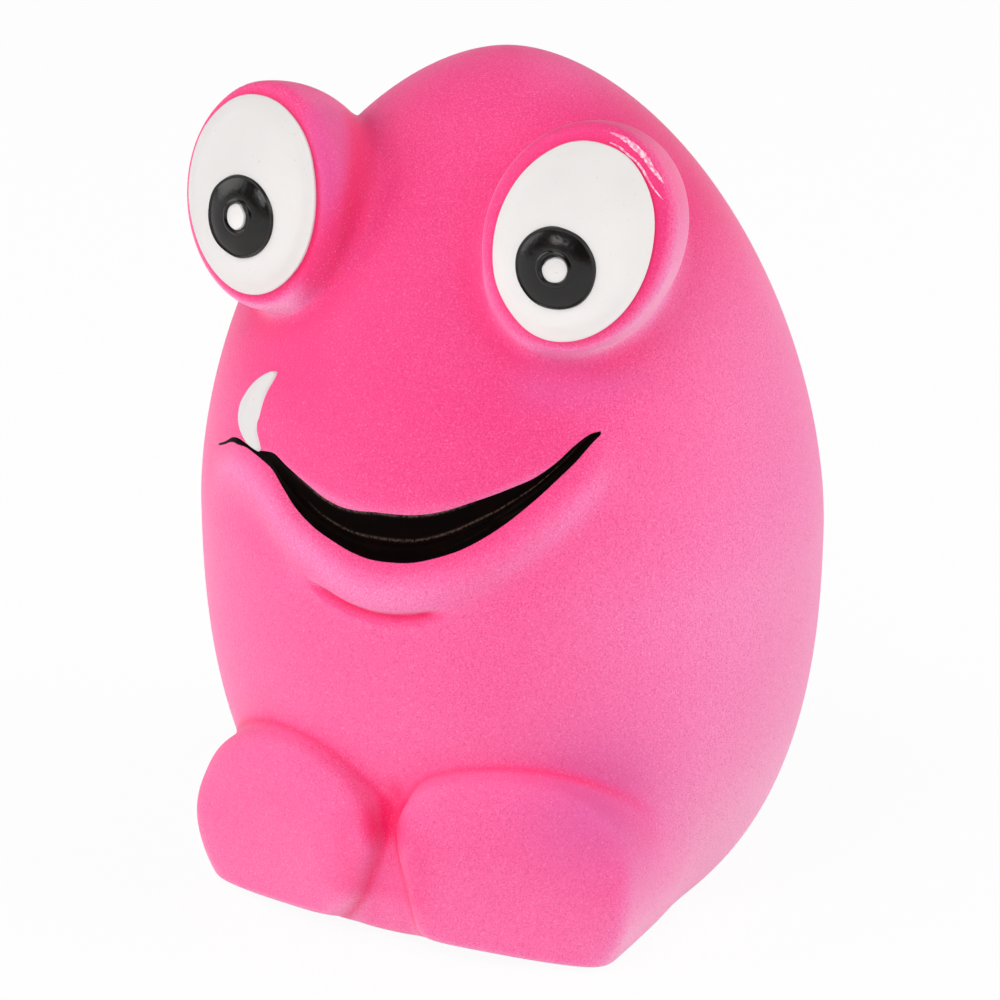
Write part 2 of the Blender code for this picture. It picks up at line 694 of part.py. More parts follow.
def make_fang(white):
    rows = 13
    height = np.linspace(FANG_KEYS[0][0], FANG_KEYS[-1][0], rows)
    outer = smooth_through(FANG_KEYS, 1, height)
    inner = smooth_through(FANG_KEYS, 2, height)
    shares = (0.0, 0.5, 1.0)
    columns = [outer + (inner - outer) * s for s in shares]
    sheet = np.vstack([on_face(np.array([c[r] for c in columns]), np.full(len(shares), height[r] * MM))
                       for r in range(rows)])
    floor = np.full(len(sheet), COAT_GAP)
    coat("fang_paint", sheet, strip_faces(rows, len(shares)), floor, floor + COAT_THICKNESS, white)


def main():
    clear_scene()
    materials = {name: make_material(name) for name in COLOURS}
    make_body(materials["vinyl"])
    make_cup(materials["squeaker"])
    make_reed_unit(materials["squeaker"], materials["reed"])
    for side in SIGN:
        make_eye(side, materials["white"], materials["black"])
    make_mouth(materials["black"])
    make_fang(materials["white"])


main()
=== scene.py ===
import math

import bmesh
import bpy
import numpy as np
from mathutils import Matrix, Vector


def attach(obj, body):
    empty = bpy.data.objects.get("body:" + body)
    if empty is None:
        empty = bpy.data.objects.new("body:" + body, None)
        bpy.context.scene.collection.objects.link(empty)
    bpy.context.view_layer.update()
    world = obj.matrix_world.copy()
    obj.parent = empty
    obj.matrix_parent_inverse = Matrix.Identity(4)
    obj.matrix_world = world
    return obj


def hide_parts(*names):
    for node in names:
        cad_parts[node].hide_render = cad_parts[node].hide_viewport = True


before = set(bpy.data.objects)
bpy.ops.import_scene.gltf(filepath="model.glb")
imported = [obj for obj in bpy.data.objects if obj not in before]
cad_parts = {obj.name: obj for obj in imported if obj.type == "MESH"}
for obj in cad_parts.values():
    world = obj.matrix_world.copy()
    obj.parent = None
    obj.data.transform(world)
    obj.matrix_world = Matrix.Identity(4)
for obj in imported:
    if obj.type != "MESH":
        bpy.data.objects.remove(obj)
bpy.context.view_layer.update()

# Skin: one hollow soft-vinyl moulding, cast pink right through, with a wall of about 2.5 mm.
# Egg body, eye pods, feet, web and lips run into each other, so each is a distance field in
# millimetres, they are blended, and a fine mesh is laid on the result.
MM = 0.001
SIDES = {"left": 1, "right": -1}
PROBE, TINY = 0.05, 1e-6


def rising(value, start, full):
    """0 at start and 1 at full, smooth between; full may lie below start."""
    t = np.clip((value - start) / (full - start), 0, 1)
    return t * t * (3 - 2 * t)


def fade(value, limit, width):
    """1 out to the limit on both sides, then down to 0 over the width."""
    return rising(np.abs(value), limit + width, limit)


def bell(value, middle, half):
    return np.exp(-((value - middle) / half) ** 2)


def through(keys, column, at):
    """A smooth curve through the keys: one of their columns over their first."""
    x = np.array([k[0] for k in keys], float)
    y = np.array([k[column] for k in keys], float)
    slopes = np.gradient(y, x)
    at = np.clip(at, x[0], x[-1])
    i = np.clip(np.searchsorted(x, at) - 1, 0, len(x) - 2)
    span = x[i + 1] - x[i]
    t = (at - x[i]) / span
    rise = y[i] * (1 + 2 * t) * (1 - t) ** 2 + y[i + 1] * t * t * (3 - 2 * t)
    return rise + span * (slopes[i] * t * (1 - t) ** 2 - slopes[i + 1] * t * t * (1 - t))


def swell(local, half_u, half_v, front, front_power, back, back_power):
    """Below 0 inside a rounded form, whose front and back have a reach and a fullness each."""
    across = np.hypot(local[:, 0] / half_u, local[:, 1] / half_v)
    ahead = local[:, 2] > 0
    reach = np.where(ahead, front, back)
    power = np.where(ahead, front_power, back_power)
    return (across ** power + (np.abs(local[:, 2]) / reach) ** power) ** (1 / power) - 1


def steepness(field, points):
    here = field(points)
    return here, np.stack([field(points + step) - here for step in np.eye(3) * PROBE], axis=1) / PROBE


def distance(level, points):
    here, steep = steepness(level, points)
    return here / np.maximum(np.linalg.norm(steep, axis=1), TINY)


def closeness(a, b, reach):
    return np.maximum(reach - np.abs(a - b), 0) / reach


def run_together(a, b, reach):
    """Both forms in one, with a fillet of about this reach where they meet."""
    return np.minimum(a, b) - closeness(a, b, reach) ** 2 * reach / 4


# The egg, fuller below its widest level than above it.
BODY_BACK = 1.45
BODY_HEIGHT, BODY_HALF_WIDTH, BODY_HALF_DEPTH = 100.0, 38.3, 33.1
WIDEST_HEIGHT, BELLY_REACH, CROWN_POWER, BELLY_POWER = 43.9, 53.3, 1.78, 2.48


def egg_distance(points):
    middle = np.array((0, BODY_BACK, WIDEST_HEIGHT))
    crown = (BODY_HEIGHT - WIDEST_HEIGHT, CROWN_POWER)
    sizes = (BODY_HALF_WIDTH, BODY_HALF_DEPTH, *crown, BELLY_REACH, BELLY_POWER)
    return distance(lambda p: swell(p - middle, *sizes), points)


def on_egg(turn, height):
    rise = height - WIDEST_HEIGHT
    reach = np.where(rise > 0, BODY_HEIGHT - WIDEST_HEIGHT, BELLY_REACH)
    power = np.where(rise > 0, CROWN_POWER, BELLY_POWER)
    girth = np.maximum(1 - (np.abs(rise) / reach) ** power, 0) ** (1 / power)
    x = BODY_HALF_WIDTH * girth * np.sin(np.radians(turn))
    y = BODY_BACK - BODY_HALF_DEPTH * girth * np.cos(np.radians(turn))
    return np.column_stack((x, y, height))


def off_egg(turn, height, standoff):
    point = on_egg(np.array([turn]), np.array([height]))[0]
    out = np.array((point[0], point[1] - BODY_BACK, 0))
    return point + standoff * out / np.linalg.norm(out)


def turn_of(points):
    across = points[:, 0] / BODY_HALF_WIDTH
    ahead = (BODY_BACK - points[:, 1]) / BODY_HALF_DEPTH
    return np.degrees(np.arctan2(across, ahead))


# The eye pods: each leans its own way, and a groove in its face runs round the eye white.
POD_TURN = {"left": 38.8, "right": 36.6}
POD_SPLAY = {"left": 7.4, "right": 3.5}
POD_TILT = {"left": 20.0, "right": -1.0}
POD_BELOW_CROWN = {"left": 14.4, "right": 14.7}
POD_STANDOFF, POD_PITCH, POD_FILLET = 8.1, 8.3, 3.0
POD_HALF_WIDTH, POD_HALF_HEIGHT = 10.9, 13.1
POD_FRONT, POD_FRONT_POWER, POD_BACK, POD_BACK_POWER = 3.6, 2.3, 17.0, 2.0
RIM_GROOVE, RIM_GROOVE_WIDTH = 0.5, 0.8
WHITE_HALF_WIDTH, WHITE_HALF_HEIGHT = 8.8, 11.3
WHITE_PLACE = {"left": (0.05, -0.24), "right": (-0.75, 0.24)}


def pod_frame(side):
    sign = SIDES[side]
    turn = Matrix.Rotation(sign * math.radians(POD_SPLAY[side]), 3, "Z")
    turn = turn @ Matrix.Rotation(-math.radians(POD_PITCH), 3, "X")
    turn = turn @ Matrix.Rotation(math.radians(POD_TILT[side]), 3, "Y")
    middle = off_egg(sign * POD_TURN[side], BODY_HEIGHT - POD_BELOW_CROWN[side], POD_STANDOFF)
    return middle, np.array([turn @ Vector(a) for a in ((1, 0, 0), (0, 0, 1), (0, -1, 0))])


def pod_ring(points, side):
    """How far outside the eye white's edge, and how far ahead of the pod's middle."""
    middle, axes = pod_frame(side)
    local = (points - middle) @ axes.T
    u, v = WHITE_PLACE[side]
    ring = np.hypot((local[:, 0] - u) / WHITE_HALF_WIDTH, (local[:, 1] - v) / WHITE_HALF_HEIGHT) - 1
    return ring * WHITE_HALF_WIDTH, local[:, 2]


def pod_distance(points, side):
    middle, axes = pod_frame(side)
    sizes = (POD_HALF_WIDTH, POD_HALF_HEIGHT, POD_FRONT, POD_FRONT_POWER, POD_BACK, POD_BACK_POWER)
    ring, ahead = pod_ring(points, side)
    groove = RIM_GROOVE * bell(ring, 0, RIM_GROOVE_WIDTH) * (ahead > 0)
    return distance(lambda p: swell((p - middle) @ axes.T, *sizes), points) + groove


# The feet: each sole has its own outline, as shares of one radius round the sole's middle.
FOOT_TURN, FOOT_STANDOFF, FOOT_MIDDLE, FOOT_RADIUS = 23.2, 2.2, 11.0, 14.0
FOOT_KEYS = {
    "left": ((0, 1.15), (24, 1.13), (44, 1.06), (74, 0.95), (98, 0.91), (134, 0.945), (152, 0.89),
             (163, 0.81), (187, 0.72), (209, 0.77), (225, 0.88), (270, 1.00), (315, 1.20)),
    "right": ((0, 1.05), (25, 0.95), (51, 0.88), (85, 0.885), (111, 0.935), (141, 1.04),
              (163, 1.16), (187, 1.00), (205, 0.94), (225, 0.91), (270, 1.00), (315, 1.16)),
}
FOOT_SPLAY, FOOT_LEAN, FOOT_FILLET = math.radians(14.9), math.radians(7.0), 2.0
FOOT_BACK, FOOT_BACK_POWER, FOOT_LIFT, FOOT_LIFT_SPAN = 34.0, 3.0, 2.5, 26.0
SOLE_EDGE, SOLE_SOFT, SOLE_CRISP, SOLE_BLEND, SOLE_INNER = 4.2, 2.8, 6.0, 8.0, 0.5
BASE_EDGE = 1.2


def foot_distance(points, side):
    sign = SIDES[side]
    middle = off_egg(sign * FOOT_TURN, FOOT_MIDDLE, FOOT_STANDOFF)
    aim = np.array((sign * math.sin(FOOT_SPLAY), -math.cos(FOOT_SPLAY), 0)) * math.cos(FOOT_LEAN)
    aim[2] = -math.sin(FOOT_LEAN)
    keys = [(a + turn, share) for turn in (-360, 0, 360) for a, share in FOOT_KEYS[side]]

    def level(p):
        out = sign * (p[:, 0] - middle[0]) / math.cos(FOOT_SPLAY)
        rise = p[:, 2] - middle[2]
        radius = FOOT_RADIUS * through(keys, 1, np.degrees(np.arctan2(rise, out)) % 360)
        crisp = rising(rise + SOLE_INNER * np.minimum(out, 0), SOLE_BLEND / 2, -SOLE_BLEND / 2)
        power = SOLE_SOFT + (SOLE_CRISP - SOLE_SOFT) * crisp
        local = np.column_stack((out / radius, rise / radius, (p - middle) @ aim))
        return swell(local, 1.0, 1.0, SOLE_EDGE, power, FOOT_BACK, FOOT_BACK_POWER)

    above = points[:, 2] - FOOT_LIFT * (1 - np.abs(points[:, 0]) / FOOT_LIFT_SPAN)
    return -run_together(-distance(level, points), above, BASE_EDGE)


# The web: a low pad of skin that fills the gap between the feet.
WEB_MIDDLE, WEB_STANDOFF, WEB_LEAN, WEB_LIFT = 7.0, 5.8, math.radians(11.0), 1.0
WEB_HALF_WIDTH, WEB_HALF_HEIGHT, WEB_DEPTH, WEB_POWER = 10.0, 12.0, 8.0, 3.0


def web_distance(points):
    middle = off_egg(0.0, WEB_MIDDLE, WEB_STANDOFF) + (0, WEB_DEPTH, 0)

    def level(p):
        ahead = middle[1] - p[:, 1]
        rise = p[:, 2] - middle[2]
        forward = ahead * math.cos(WEB_LEAN) - rise * math.sin(WEB_LEAN)
        up = rise * math.cos(WEB_LEAN) + ahead * math.sin(WEB_LEAN)
        local = np.column_stack((p[:, 0], up, forward))
        return swell(local, WEB_HALF_WIDTH, WEB_HALF_HEIGHT, WEB_DEPTH, WEB_POWER, WEB_DEPTH, WEB_POWER)

    return -run_together(-distance(level, points), points[:, 2] - WEB_LIFT, BASE_EDGE)


# The lips: a swollen lower lip, the groove of the mouth and a crease in the chin.
# The mouth's keys are a turn round the egg in degrees, and its upper and lower edge.
MOUTH_KEYS = ((-46, 54.8, 54.3), (-34, 56.8, 56.2), (-26, 57.0, 55.2), (-15, 54.8, 50.8),
              (0, 53.5, 48.0), (15, 55.2, 50.3), (30, 59.6, 57.1), (42, 64.0, 63.5))
MOUTH_DEPTH, MOUTH_FULL_HALF = 0.8, 2.0
LIP_RISE, LIP_DROP, LIP_HALF, LIP_TURN, LIP_FADE = 1.0, 3.0, 2.8, 32.0, 18.0
CHIN_DEPTH, CHIN_DROP, CHIN_HALF, CHIN_TURN, CHIN_FADE = 0.8, 6.5, 0.65, 9.0, 6.0


def lips(points):
    turn = turn_of(points)
    upper = through(MOUTH_KEYS, 1, turn)
    lower = through(MOUTH_KEYS, 2, turn)
    height = points[:, 2]
    half = (upper - lower) / 2
    ends = fade(turn, LIP_TURN, LIP_FADE)
    bulge = LIP_RISE * bell(height, lower - LIP_DROP, LIP_HALF) * ends
    depth = MOUTH_DEPTH * np.minimum(1.0, (half / MOUTH_FULL_HALF) ** 2) * ends
    groove = depth * np.exp(-((height - (upper + lower) / 2) / np.maximum(half, PROBE)) ** 4)
    chin = CHIN_DEPTH * bell(height, lower - CHIN_DROP, CHIN_HALF) * fade(turn, CHIN_TURN, CHIN_FADE)
    return bulge, groove, chin


def skin(points):
    bulge, groove, chin = lips(points)
    body = egg_distance(points) - bulge + groove + chin
    body = run_together(body, web_distance(points), FOOT_FILLET)
    for side in SIDES:
        body = run_together(body, foot_distance(points, side), FOOT_FILLET)
        body = run_together(body, pod_distance(points, side), POD_FILLET)
    return -run_together(-body, points[:, 2], BASE_EDGE)


LEAST_STEEP, LONGEST_STEP = 0.05, 2.0


def laid_on_skin(points, lift=0.0, rounds=6):
    points = np.array(points, float)
    for _ in range(rounds):
        here, steep = steepness(skin, points)
        step = ((here - lift) / np.maximum((steep ** 2).sum(axis=1), LEAST_STEEP))[:, None] * steep
        length = np.linalg.norm(step, axis=1, keepdims=True)
        points -= step * np.minimum(1.0, LONGEST_STEP / np.maximum(length, TINY))
    return points


def solid(name, work):
    mesh = bpy.data.meshes.new(name)
    work.to_mesh(mesh)
    work.free()
    piece = bpy.data.objects.new(name, mesh)
    bpy.context.scene.collection.objects.link(piece)
    return piece


def places(mesh):
    flat = np.empty(3 * len(mesh.vertices))
    mesh.vertices.foreach_get("co", flat)
    return flat.reshape(-1, 3) / MM


def evaluated(piece):
    bpy.context.view_layer.update()
    return bpy.data.meshes.new_from_object(piece.evaluated_get(bpy.context.evaluated_depsgraph_get()))


# The mesh starts as a voxel copy of the CAD skin with its seat closed, and is evened out on the fields.
SEAT_RADIUS, SEAT_DEPTH, NECK_RADIUS, BASE_WALL = 10.8, 1.7, 7.3, 4.0
CLOSER_RADIUS, CLOSER_SIDES = 1.1 * SEAT_RADIUS, 64
SKIN_VOXEL, QUICK_VOXEL = 0.6, 1.1
EVEN_ROUNDS, SETTLE_ROUNDS = 3, 3
cad_skin = bmesh.new()
cad_skin.from_mesh(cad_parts["vinyl_body"].data)
bmesh.ops.remove_doubles(cad_skin, verts=cad_skin.verts, dist=TINY)
work = cad_skin.copy()
bmesh.ops.create_cone(work, cap_ends=True, segments=CLOSER_SIDES, depth=BASE_WALL * MM,
                      radius1=CLOSER_RADIUS * MM, radius2=CLOSER_RADIUS * MM,
                      matrix=Matrix.Translation((0, 0, BASE_WALL / 2 * MM)))
rough = solid("rough", work)
fuse = rough.modifiers.new("fuse", "REMESH")
fuse.voxel_size = SKIN_VOXEL * MM
mesh = evaluated(rough)
bpy.data.objects.remove(rough)
points = places(mesh)
faces = np.array([p.vertices[:] for p in mesh.polygons])
starts, ends = np.vstack([faces[:, (i, (i + 1) % 4)] for i in range(4)]).T
count = np.bincount(starts, minlength=len(points)) + np.bincount(ends, minlength=len(points))
for _ in range(EVEN_ROUNDS):
    points = laid_on_skin(points, rounds=1)
    near = np.column_stack([np.bincount(starts, along[ends], len(points))
                            + np.bincount(ends, along[starts], len(points)) for along in points.T])
    points = (points + near / count[:, None]) / 2
points = laid_on_skin(points, rounds=SETTLE_ROUNDS)
mesh.vertices.foreach_set("co", (points * MM).ravel())

# Where the skin bends sharply, in creases and round rims, the mesh is split finer and laid on again.
FINE_BEND, FINE_ROUNDS = math.radians(7), 2
for _ in range(FINE_ROUNDS):
    work = bmesh.new()
    work.from_mesh(mesh)
    sharp = [e for e in work.edges if e.calc_face_angle(0.0) > FINE_BEND]
    bent = {v for e in sharp for f in e.link_faces for v in f.verts}
    edges = [e for e in work.edges if bent.issuperset(e.verts)]
    bmesh.ops.subdivide_edges(work, edges=edges, cuts=1, use_grid_fill=True)
    work.to_mesh(mesh)
    work.free()
    mesh.vertices.foreach_set("co", (laid_on_skin(places(mesh), rounds=SETTLE_ROUNDS) * MM).ravel())
toy_skin = bpy.data.objects.new("vinyl_skin", mesh)
bpy.context.scene.collection.objects.link(toy_skin)

# The hollow is the CAD skin's own inner face, closed at the base; the squeaker's seat is turned.
HOLLOW_DEPTH = 2.0
SEAT_BELOW, SEAT_ABOVE, SEAT_STEPS = -2, 6, 96
SEAT_PROFILE = ((0, SEAT_BELOW), (SEAT_RADIUS, SEAT_BELOW), (SEAT_RADIUS, SEAT_DEPTH),
                (NECK_RADIUS, SEAT_DEPTH), (NECK_RADIUS, SEAT_ABOVE), (0, SEAT_ABOVE))
SKIN_SHARP = math.radians(55)
depth = skin(np.array([v.co[:] for v in cad_skin.verts]) / MM)
shallow = [v for v, d in zip(cad_skin.verts, depth) if d > -HOLLOW_DEPTH]
bmesh.ops.delete(cad_skin, geom=shallow, context="VERTS")
bmesh.ops.holes_fill(cad_skin, edges=[e for e in cad_skin.edges if e.is_boundary])
bmesh.ops.recalc_face_normals(cad_skin, faces=cad_skin.faces)
hollow = solid("hollow", cad_skin)
work = bmesh.new()
profile = [work.verts.new((r * MM, 0, z * MM)) for r, z in SEAT_PROFILE]
edges = [work.edges.new((a, b)) for a, b in zip(profile, profile[1:])]
bmesh.ops.spin(work, geom=profile + edges, cent=(0, 0, 0), axis=(0, 0, 1), angle=math.tau,
               steps=SEAT_STEPS, use_merge=True)
bmesh.ops.remove_doubles(work, verts=work.verts, dist=TINY)
bmesh.ops.recalc_face_normals(work, faces=work.faces)
seat = solid("seat", work)
for cutter in (hollow, seat):
    cut = toy_skin.modifiers.new(cutter.name, "BOOLEAN")
    cut.object = cutter
    cut.solver = "MANIFOLD"
toy_skin.data = evaluated(toy_skin)
toy_skin.modifiers.clear()
for cutter in (hollow, seat):
    bpy.data.objects.remove(cutter)
toy_skin.data.shade_smooth()
toy_skin.data.set_sharp_from_angle(angle=SKIN_SHARP)


class Value:
    """A shader value: sums, differences and products of it add Math nodes."""

    def __init__(self, finish, socket):
        self.finish = finish
        self.socket = socket

    def maths(self, operation, first, second):
        return self.finish.node("ShaderNodeMath", {"operation": operation}, {0: first, 1: second})

    def __add__(self, other):
        return self.maths("ADD", self, other)

    def __sub__(self, other):
        return self.maths("SUBTRACT", self, other)

    def __rsub__(self, other):
        return self.maths("SUBTRACT", other, self)

    def __mul__(self, other):
        return self.maths("MULTIPLY", self, other)

    __radd__ = __add__
    __rmul__ = __mul__

    def either(self, other):
        return self.maths("MAXIMUM", self, other)

    def between(self, low, high, start=0.0, end=1.0):
        return self.finish.node("ShaderNodeMapRange", {"interpolation_type": "SMOOTHSTEP"}, {
            "Value": self, "From Min": low, "From Max": high, "To Min": start, "To Max": end})


class Nodes:
    """A node tree: every node but the plain maths comes from its one method."""

    def __init__(self, tree):
        self.tree = tree

    def fill(self, node, sockets):
        for key, value in sockets.items():
            socket = node.inputs[key] if isinstance(key, int) else next(
                s for s in node.inputs if key in (s.identifier, s.name))
            if isinstance(value, Value):
                self.tree.links.new(value.socket, socket)
            else:
                socket.default_value = value

    def node(self, kind, settings=None, sockets=None, out=0):
        node = self.tree.nodes.new(kind)
        for key, value in (settings or {}).items():
            if key == "stops":
                self.spread(node.color_ramp.elements, value)
            else:
                setattr(node, key, value)
        self.fill(node, sockets or {})
        return Value(self, node.outputs[out] if isinstance(out, int) else next(
            s for s in node.outputs if out in (s.identifier, s.name)))

    @staticmethod
    def spread(elements, stops):
        while len(elements) < len(stops):
            elements.new(1.0)
        for element, (place, colour) in zip(elements, stops):
            element.position = place
            element.color = (*colour, 1.0)


class Finish(Nodes):
    """A procedural material around one Principled shader."""

    def __init__(self, name, **fixed):
        self.material = bpy.data.materials.new(name)
        self.material.use_nodes = True
        super().__init__(self.material.node_tree)
        self.shader = self.tree.nodes["Principled BSDF"]
        self.give(**{key.replace("_", " "): value for key, value in fixed.items()})

    def give(self, **sockets):
        self.fill(self.shader, sockets)

    def mixed(self, share, first, second):
        colours = {key: colour if isinstance(colour, Value) else (*colour, 1.0)
                   for key, colour in (("A_Color", first), ("B_Color", second))}
        return self.node("ShaderNodeMix", {"data_type": "RGBA"}, {"Factor_Float": share, **colours},
                         "Result_Color")

    def noise(self, scale, detail, stretch=(1, 1, 1)):
        place = self.node("ShaderNodeTexCoord", out="Object")
        place = self.node("ShaderNodeVectorMath", {"operation": "MULTIPLY"}, {0: place, 1: stretch})
        return self.node("ShaderNodeTexNoise", None, {"Vector": place, "Scale": scale, "Detail": detail})

    def mapped(self, name):
        return self.node("ShaderNodeAttribute", {"attribute_name": name}, out="Fac")

    def bumped(self, height, strength, reach):
        normal = self.node("ShaderNodeBump", None,
                           {"Height": height, "Strength": strength, "Distance": reach})
        self.give(Normal=normal)

    def coats(self, piece):
        piece.data.materials.clear()
        piece.data.materials.append(self.material)


def map_onto(piece, **maps):
    for name, values in maps.items():
        layer = piece.data.attributes.new(name, "FLOAT", "POINT")
        layer.data.foreach_set("value", np.clip(values, 0, 1).astype(np.float32))


# The skin's zones, in millimetres: along each axis, and off the middle plane, where a zone starts
# and where it is full. The gap is the one between the feet.
FRONT, FORWARD = ("y", -15, -25), ("y", 24, 4)
ZONES = {
    "front": (FRONT,),
    "gap": (FRONT, ("off", 12, 8), ("z", 22, 16)),
    "gap_wall": (FRONT, ("off", 9, 6), ("z", 5, 8), ("z", 22, 18)),
    "gap_foot": (FRONT, ("off", 8, 5), ("z", 9, 3)),
    "gap_top": (FRONT, ("z", 12, 16)),
    "ground": (("z", 16, 2),),
    "low_half": (("z", 42, 26),),
    "face": (("z", 40, 55), ("z", 95, 85)),
    "right_cheek": (FORWARD, ("x", -6, -20), ("z", 58, 70), ("z", 80, 74)),
    "left_flank": (FORWARD, ("x", 16, 28), ("z", 30, 45), ("z", 74, 62)),
    "left_crown": (FORWARD, ("x", 5, 20), ("z", 70, 88)),
}
points = places(toy_skin.data)
normals = np.empty(3 * len(points), np.float32)
toy_skin.data.vertex_normals.foreach_get("vector", normals)
normals = normals.reshape(-1, 3)
bulge, _, chin = lips(points)
egg, outward = steepness(egg_distance, points)
outward /= np.linalg.norm(outward, axis=1, keepdims=True)
pods = {side: pod_distance(points, side) for side in SIDES}
feet = {side: foot_distance(points, side) for side in SIDES}
rings = {side: pod_ring(points, side) for side in SIDES}
axis = dict(zip("xyz", points.T), off=np.abs(points[:, 0]))
zone = {name: np.prod([rising(axis[a], start, full) for a, start, full in spans], axis=0)
        for name, spans in ZONES.items()}

# Painted light: the skin is painted hot pink where it faces ahead and up, and hazes to a pale lilac
# where it faces aside or down, a painted sheen that stands for the white floor and room reflected there.
SIDE_TURNS, GAP_SHELTER = (15, 90), 0.8
HAZE_LEVEL, HAZE_ASIDE, HAZE_ABOVE, HAZE_ABOVE_ASIDE = 0.1, 0.133, 0.15, 0.18
HAZE_BELOW, BELOW_FROM, BELOW_MOST = 0.25, 0.2, 0.45
LEAST_HAZE, LEAST_UPRIGHT, LEAST_LOW = 0.055, 0.1, 0.055
HAZE_FACE, CROWN_POD_SPARED, CROWN_POD_NEAR, GAP_MOST = -0.013, 0.55, (4, 1), 0.11
HAZE_ZONES = {"ground": 0.02, "gap_foot": 0.04, "right_cheek": -0.035, "left_flank": 0.025,
              "left_crown": -0.105}
HAZE_NONE, HAZE_FULL = 0.03, 0.37
on_lip = bulge / LIP_RISE
upward = np.clip(normals[:, 2] * (1 - on_lip) + outward[:, 2] * on_lip, -BELOW_MOST, 1.0)
sideways = np.degrees(np.abs(np.arctan2(normals[:, 0], -normals[:, 1])))
aside = rising(sideways, *SIDE_TURNS) * (1 - GAP_SHELTER * zone["gap"])
zone["left_crown"] *= 1 - CROWN_POD_SPARED * rising(pods["left"], *CROWN_POD_NEAR)
haze = HAZE_LEVEL + HAZE_ASIDE * aside - (HAZE_ABOVE + HAZE_ABOVE_ASIDE * aside) * upward
haze += HAZE_BELOW * np.maximum(-upward - BELOW_FROM, 0)
haze = np.maximum(haze, LEAST_HAZE + LEAST_UPRIGHT * aside * np.sqrt(1 - upward ** 2))
haze = np.maximum(haze, LEAST_HAZE + LEAST_LOW * zone["low_half"])
# Zones of the face, cheeks, flank, crown and the gap between the feet get less or more of this painted
# sheen.
haze += HAZE_FACE * zone["face"] * (1 - aside)
haze += sum(amount * zone[name] for name, amount in HAZE_ZONES.items())
haze += zone["gap_wall"] * np.minimum(GAP_MOST - haze, 0)
haze = (haze - HAZE_NONE) / (HAZE_FULL - HAZE_NONE)

# Painted light: the right pod's rim is painted paler where it faces down, and the lower lip gets a soft
# painted highlight band.
RIM_PALE, RIM_PALE_OUT, RIM_PALE_HALF, RIM_PALE_FACING = 0.4, 1.6, 0.95, (0.1, -0.3)
BAND_PALE, BAND_PALE_LESS, BAND_LESS_TURNS = 0.33, 0.19, (2, 22)
BAND_DROP, BAND_DROP_MORE, BAND_MORE_TURNS, BAND_HALF = 2.5, 1.4, (-15, 0), 2.1
ring, ahead = rings["right"]
rim = bell(ring, RIM_PALE_OUT, RIM_PALE_HALF) * (ahead > 0)
haze += RIM_PALE * rim * rising(normals[:, 2], *RIM_PALE_FACING)
turn = turn_of(points)
drop = BAND_DROP + BAND_DROP_MORE * rising(turn, *BAND_MORE_TURNS)
# The painted lip highlight lies a little below the mouth's lower edge.
lip_highlight = bell(through(MOUTH_KEYS, 2, turn) - points[:, 2], drop, BAND_HALF)
pale = BAND_PALE - BAND_PALE_LESS * rising(turn, *BAND_LESS_TURNS)
haze += pale * lip_highlight * fade(turn, LIP_TURN, LIP_FADE) * zone["front"]

# Painted shade: the colour is painted deeper in the valleys where pods, feet and body meet, in the rim
# grooves and the chin crease, and painted duller on shaded shoulders, beside one pod and under the other.
RIM_DEEP, RIM_DEEP_OUT, RIM_DEEP_HALF = 0.7, 0.1, 0.45
FOOT_VALLEY, FOOT_VALLEY_REACH, FOOT_CREASE, FOOT_CREASE_REACH = 0.25, 5.0, 0.55, 1.2
GAP_DEEP, GAP_NEAR = 0.5, (4.5, 1.5)
POD_NECK_DEEP, POD_NECK_STARTS, POD_NECK_ENDS, POD_NECK_BELOW = 0.3, (-5, -2.5), (0.8, -0.5), (-6, -11)
POD_SIDE_DEEP, POD_SIDE_DULL, POD_SIDE_SKIN = 0.18, 0.9, (1.0, 0.3)
POD_SIDE_NEAR, POD_SIDE_OUT = (2.2, 0.8), (4, 7.5)
POD_VALLEY, VALLEY_STARTS, VALLEY_ENDS, VALLEY_ABOVE = 0.65, (-1.8, 0), (6.5, 3.5), (-12, -8)
UNDER_POD_DULL, UNDER_POD_BELOW, UNDER_POD_OUT, UNDER_POD_NEAR = 0.6, (-10.5, -15), (-3, 3), (9, 3)
SHOULDER_PLACE, SHOULDER_SIZE = (24.5, -24.0, 20.5), 8.0
body = run_together(egg, web_distance(points), FOOT_FILLET)
rims = [bell(ring, RIM_DEEP_OUT, RIM_DEEP_HALF) * (ahead > 0) for ring, ahead in rings.values()]
deep = RIM_DEEP * np.maximum.reduce(rims) + (chin / CHIN_DEPTH) ** 2
across, above, past = {}, {}, {}
for side in SIDES:
    valley = FOOT_VALLEY * closeness(egg, feet[side], FOOT_VALLEY_REACH) ** 2
    crease = FOOT_CREASE * closeness(body, feet[side], FOOT_CREASE_REACH)
    deep += (valley + crease) * zone["front"]
    middle, axes = pod_frame(side)
    across[side], above[side] = axes[:2] @ (points - middle).T
    past[side] = egg - pods[side]
    neck = rising(past[side], *POD_NECK_STARTS) * rising(past[side], *POD_NECK_ENDS)
    deep += POD_NECK_DEEP * neck * rising(above[side], *POD_NECK_BELOW)
deep += GAP_DEEP * rising(np.maximum(feet["left"], feet["right"]), *GAP_NEAR) * zone["gap_top"]
by_pod = rising(np.abs(pods["right"]), *POD_SIDE_NEAR) * rising(across["right"], *POD_SIDE_OUT)
pod_side = by_pod * rising(pods["right"], *POD_SIDE_SKIN)
pod_valley = by_pod * rising(past["right"], *VALLEY_STARTS) * rising(past["right"], *VALLEY_ENDS)
deep += POD_VALLEY * pod_valley * rising(above["right"], *VALLEY_ABOVE) + POD_SIDE_DEEP * pod_side
under_pod = rising(above["left"], *UNDER_POD_BELOW) * rising(across["left"], *UNDER_POD_OUT)
under_pod *= rising(pods["left"], *UNDER_POD_NEAR)
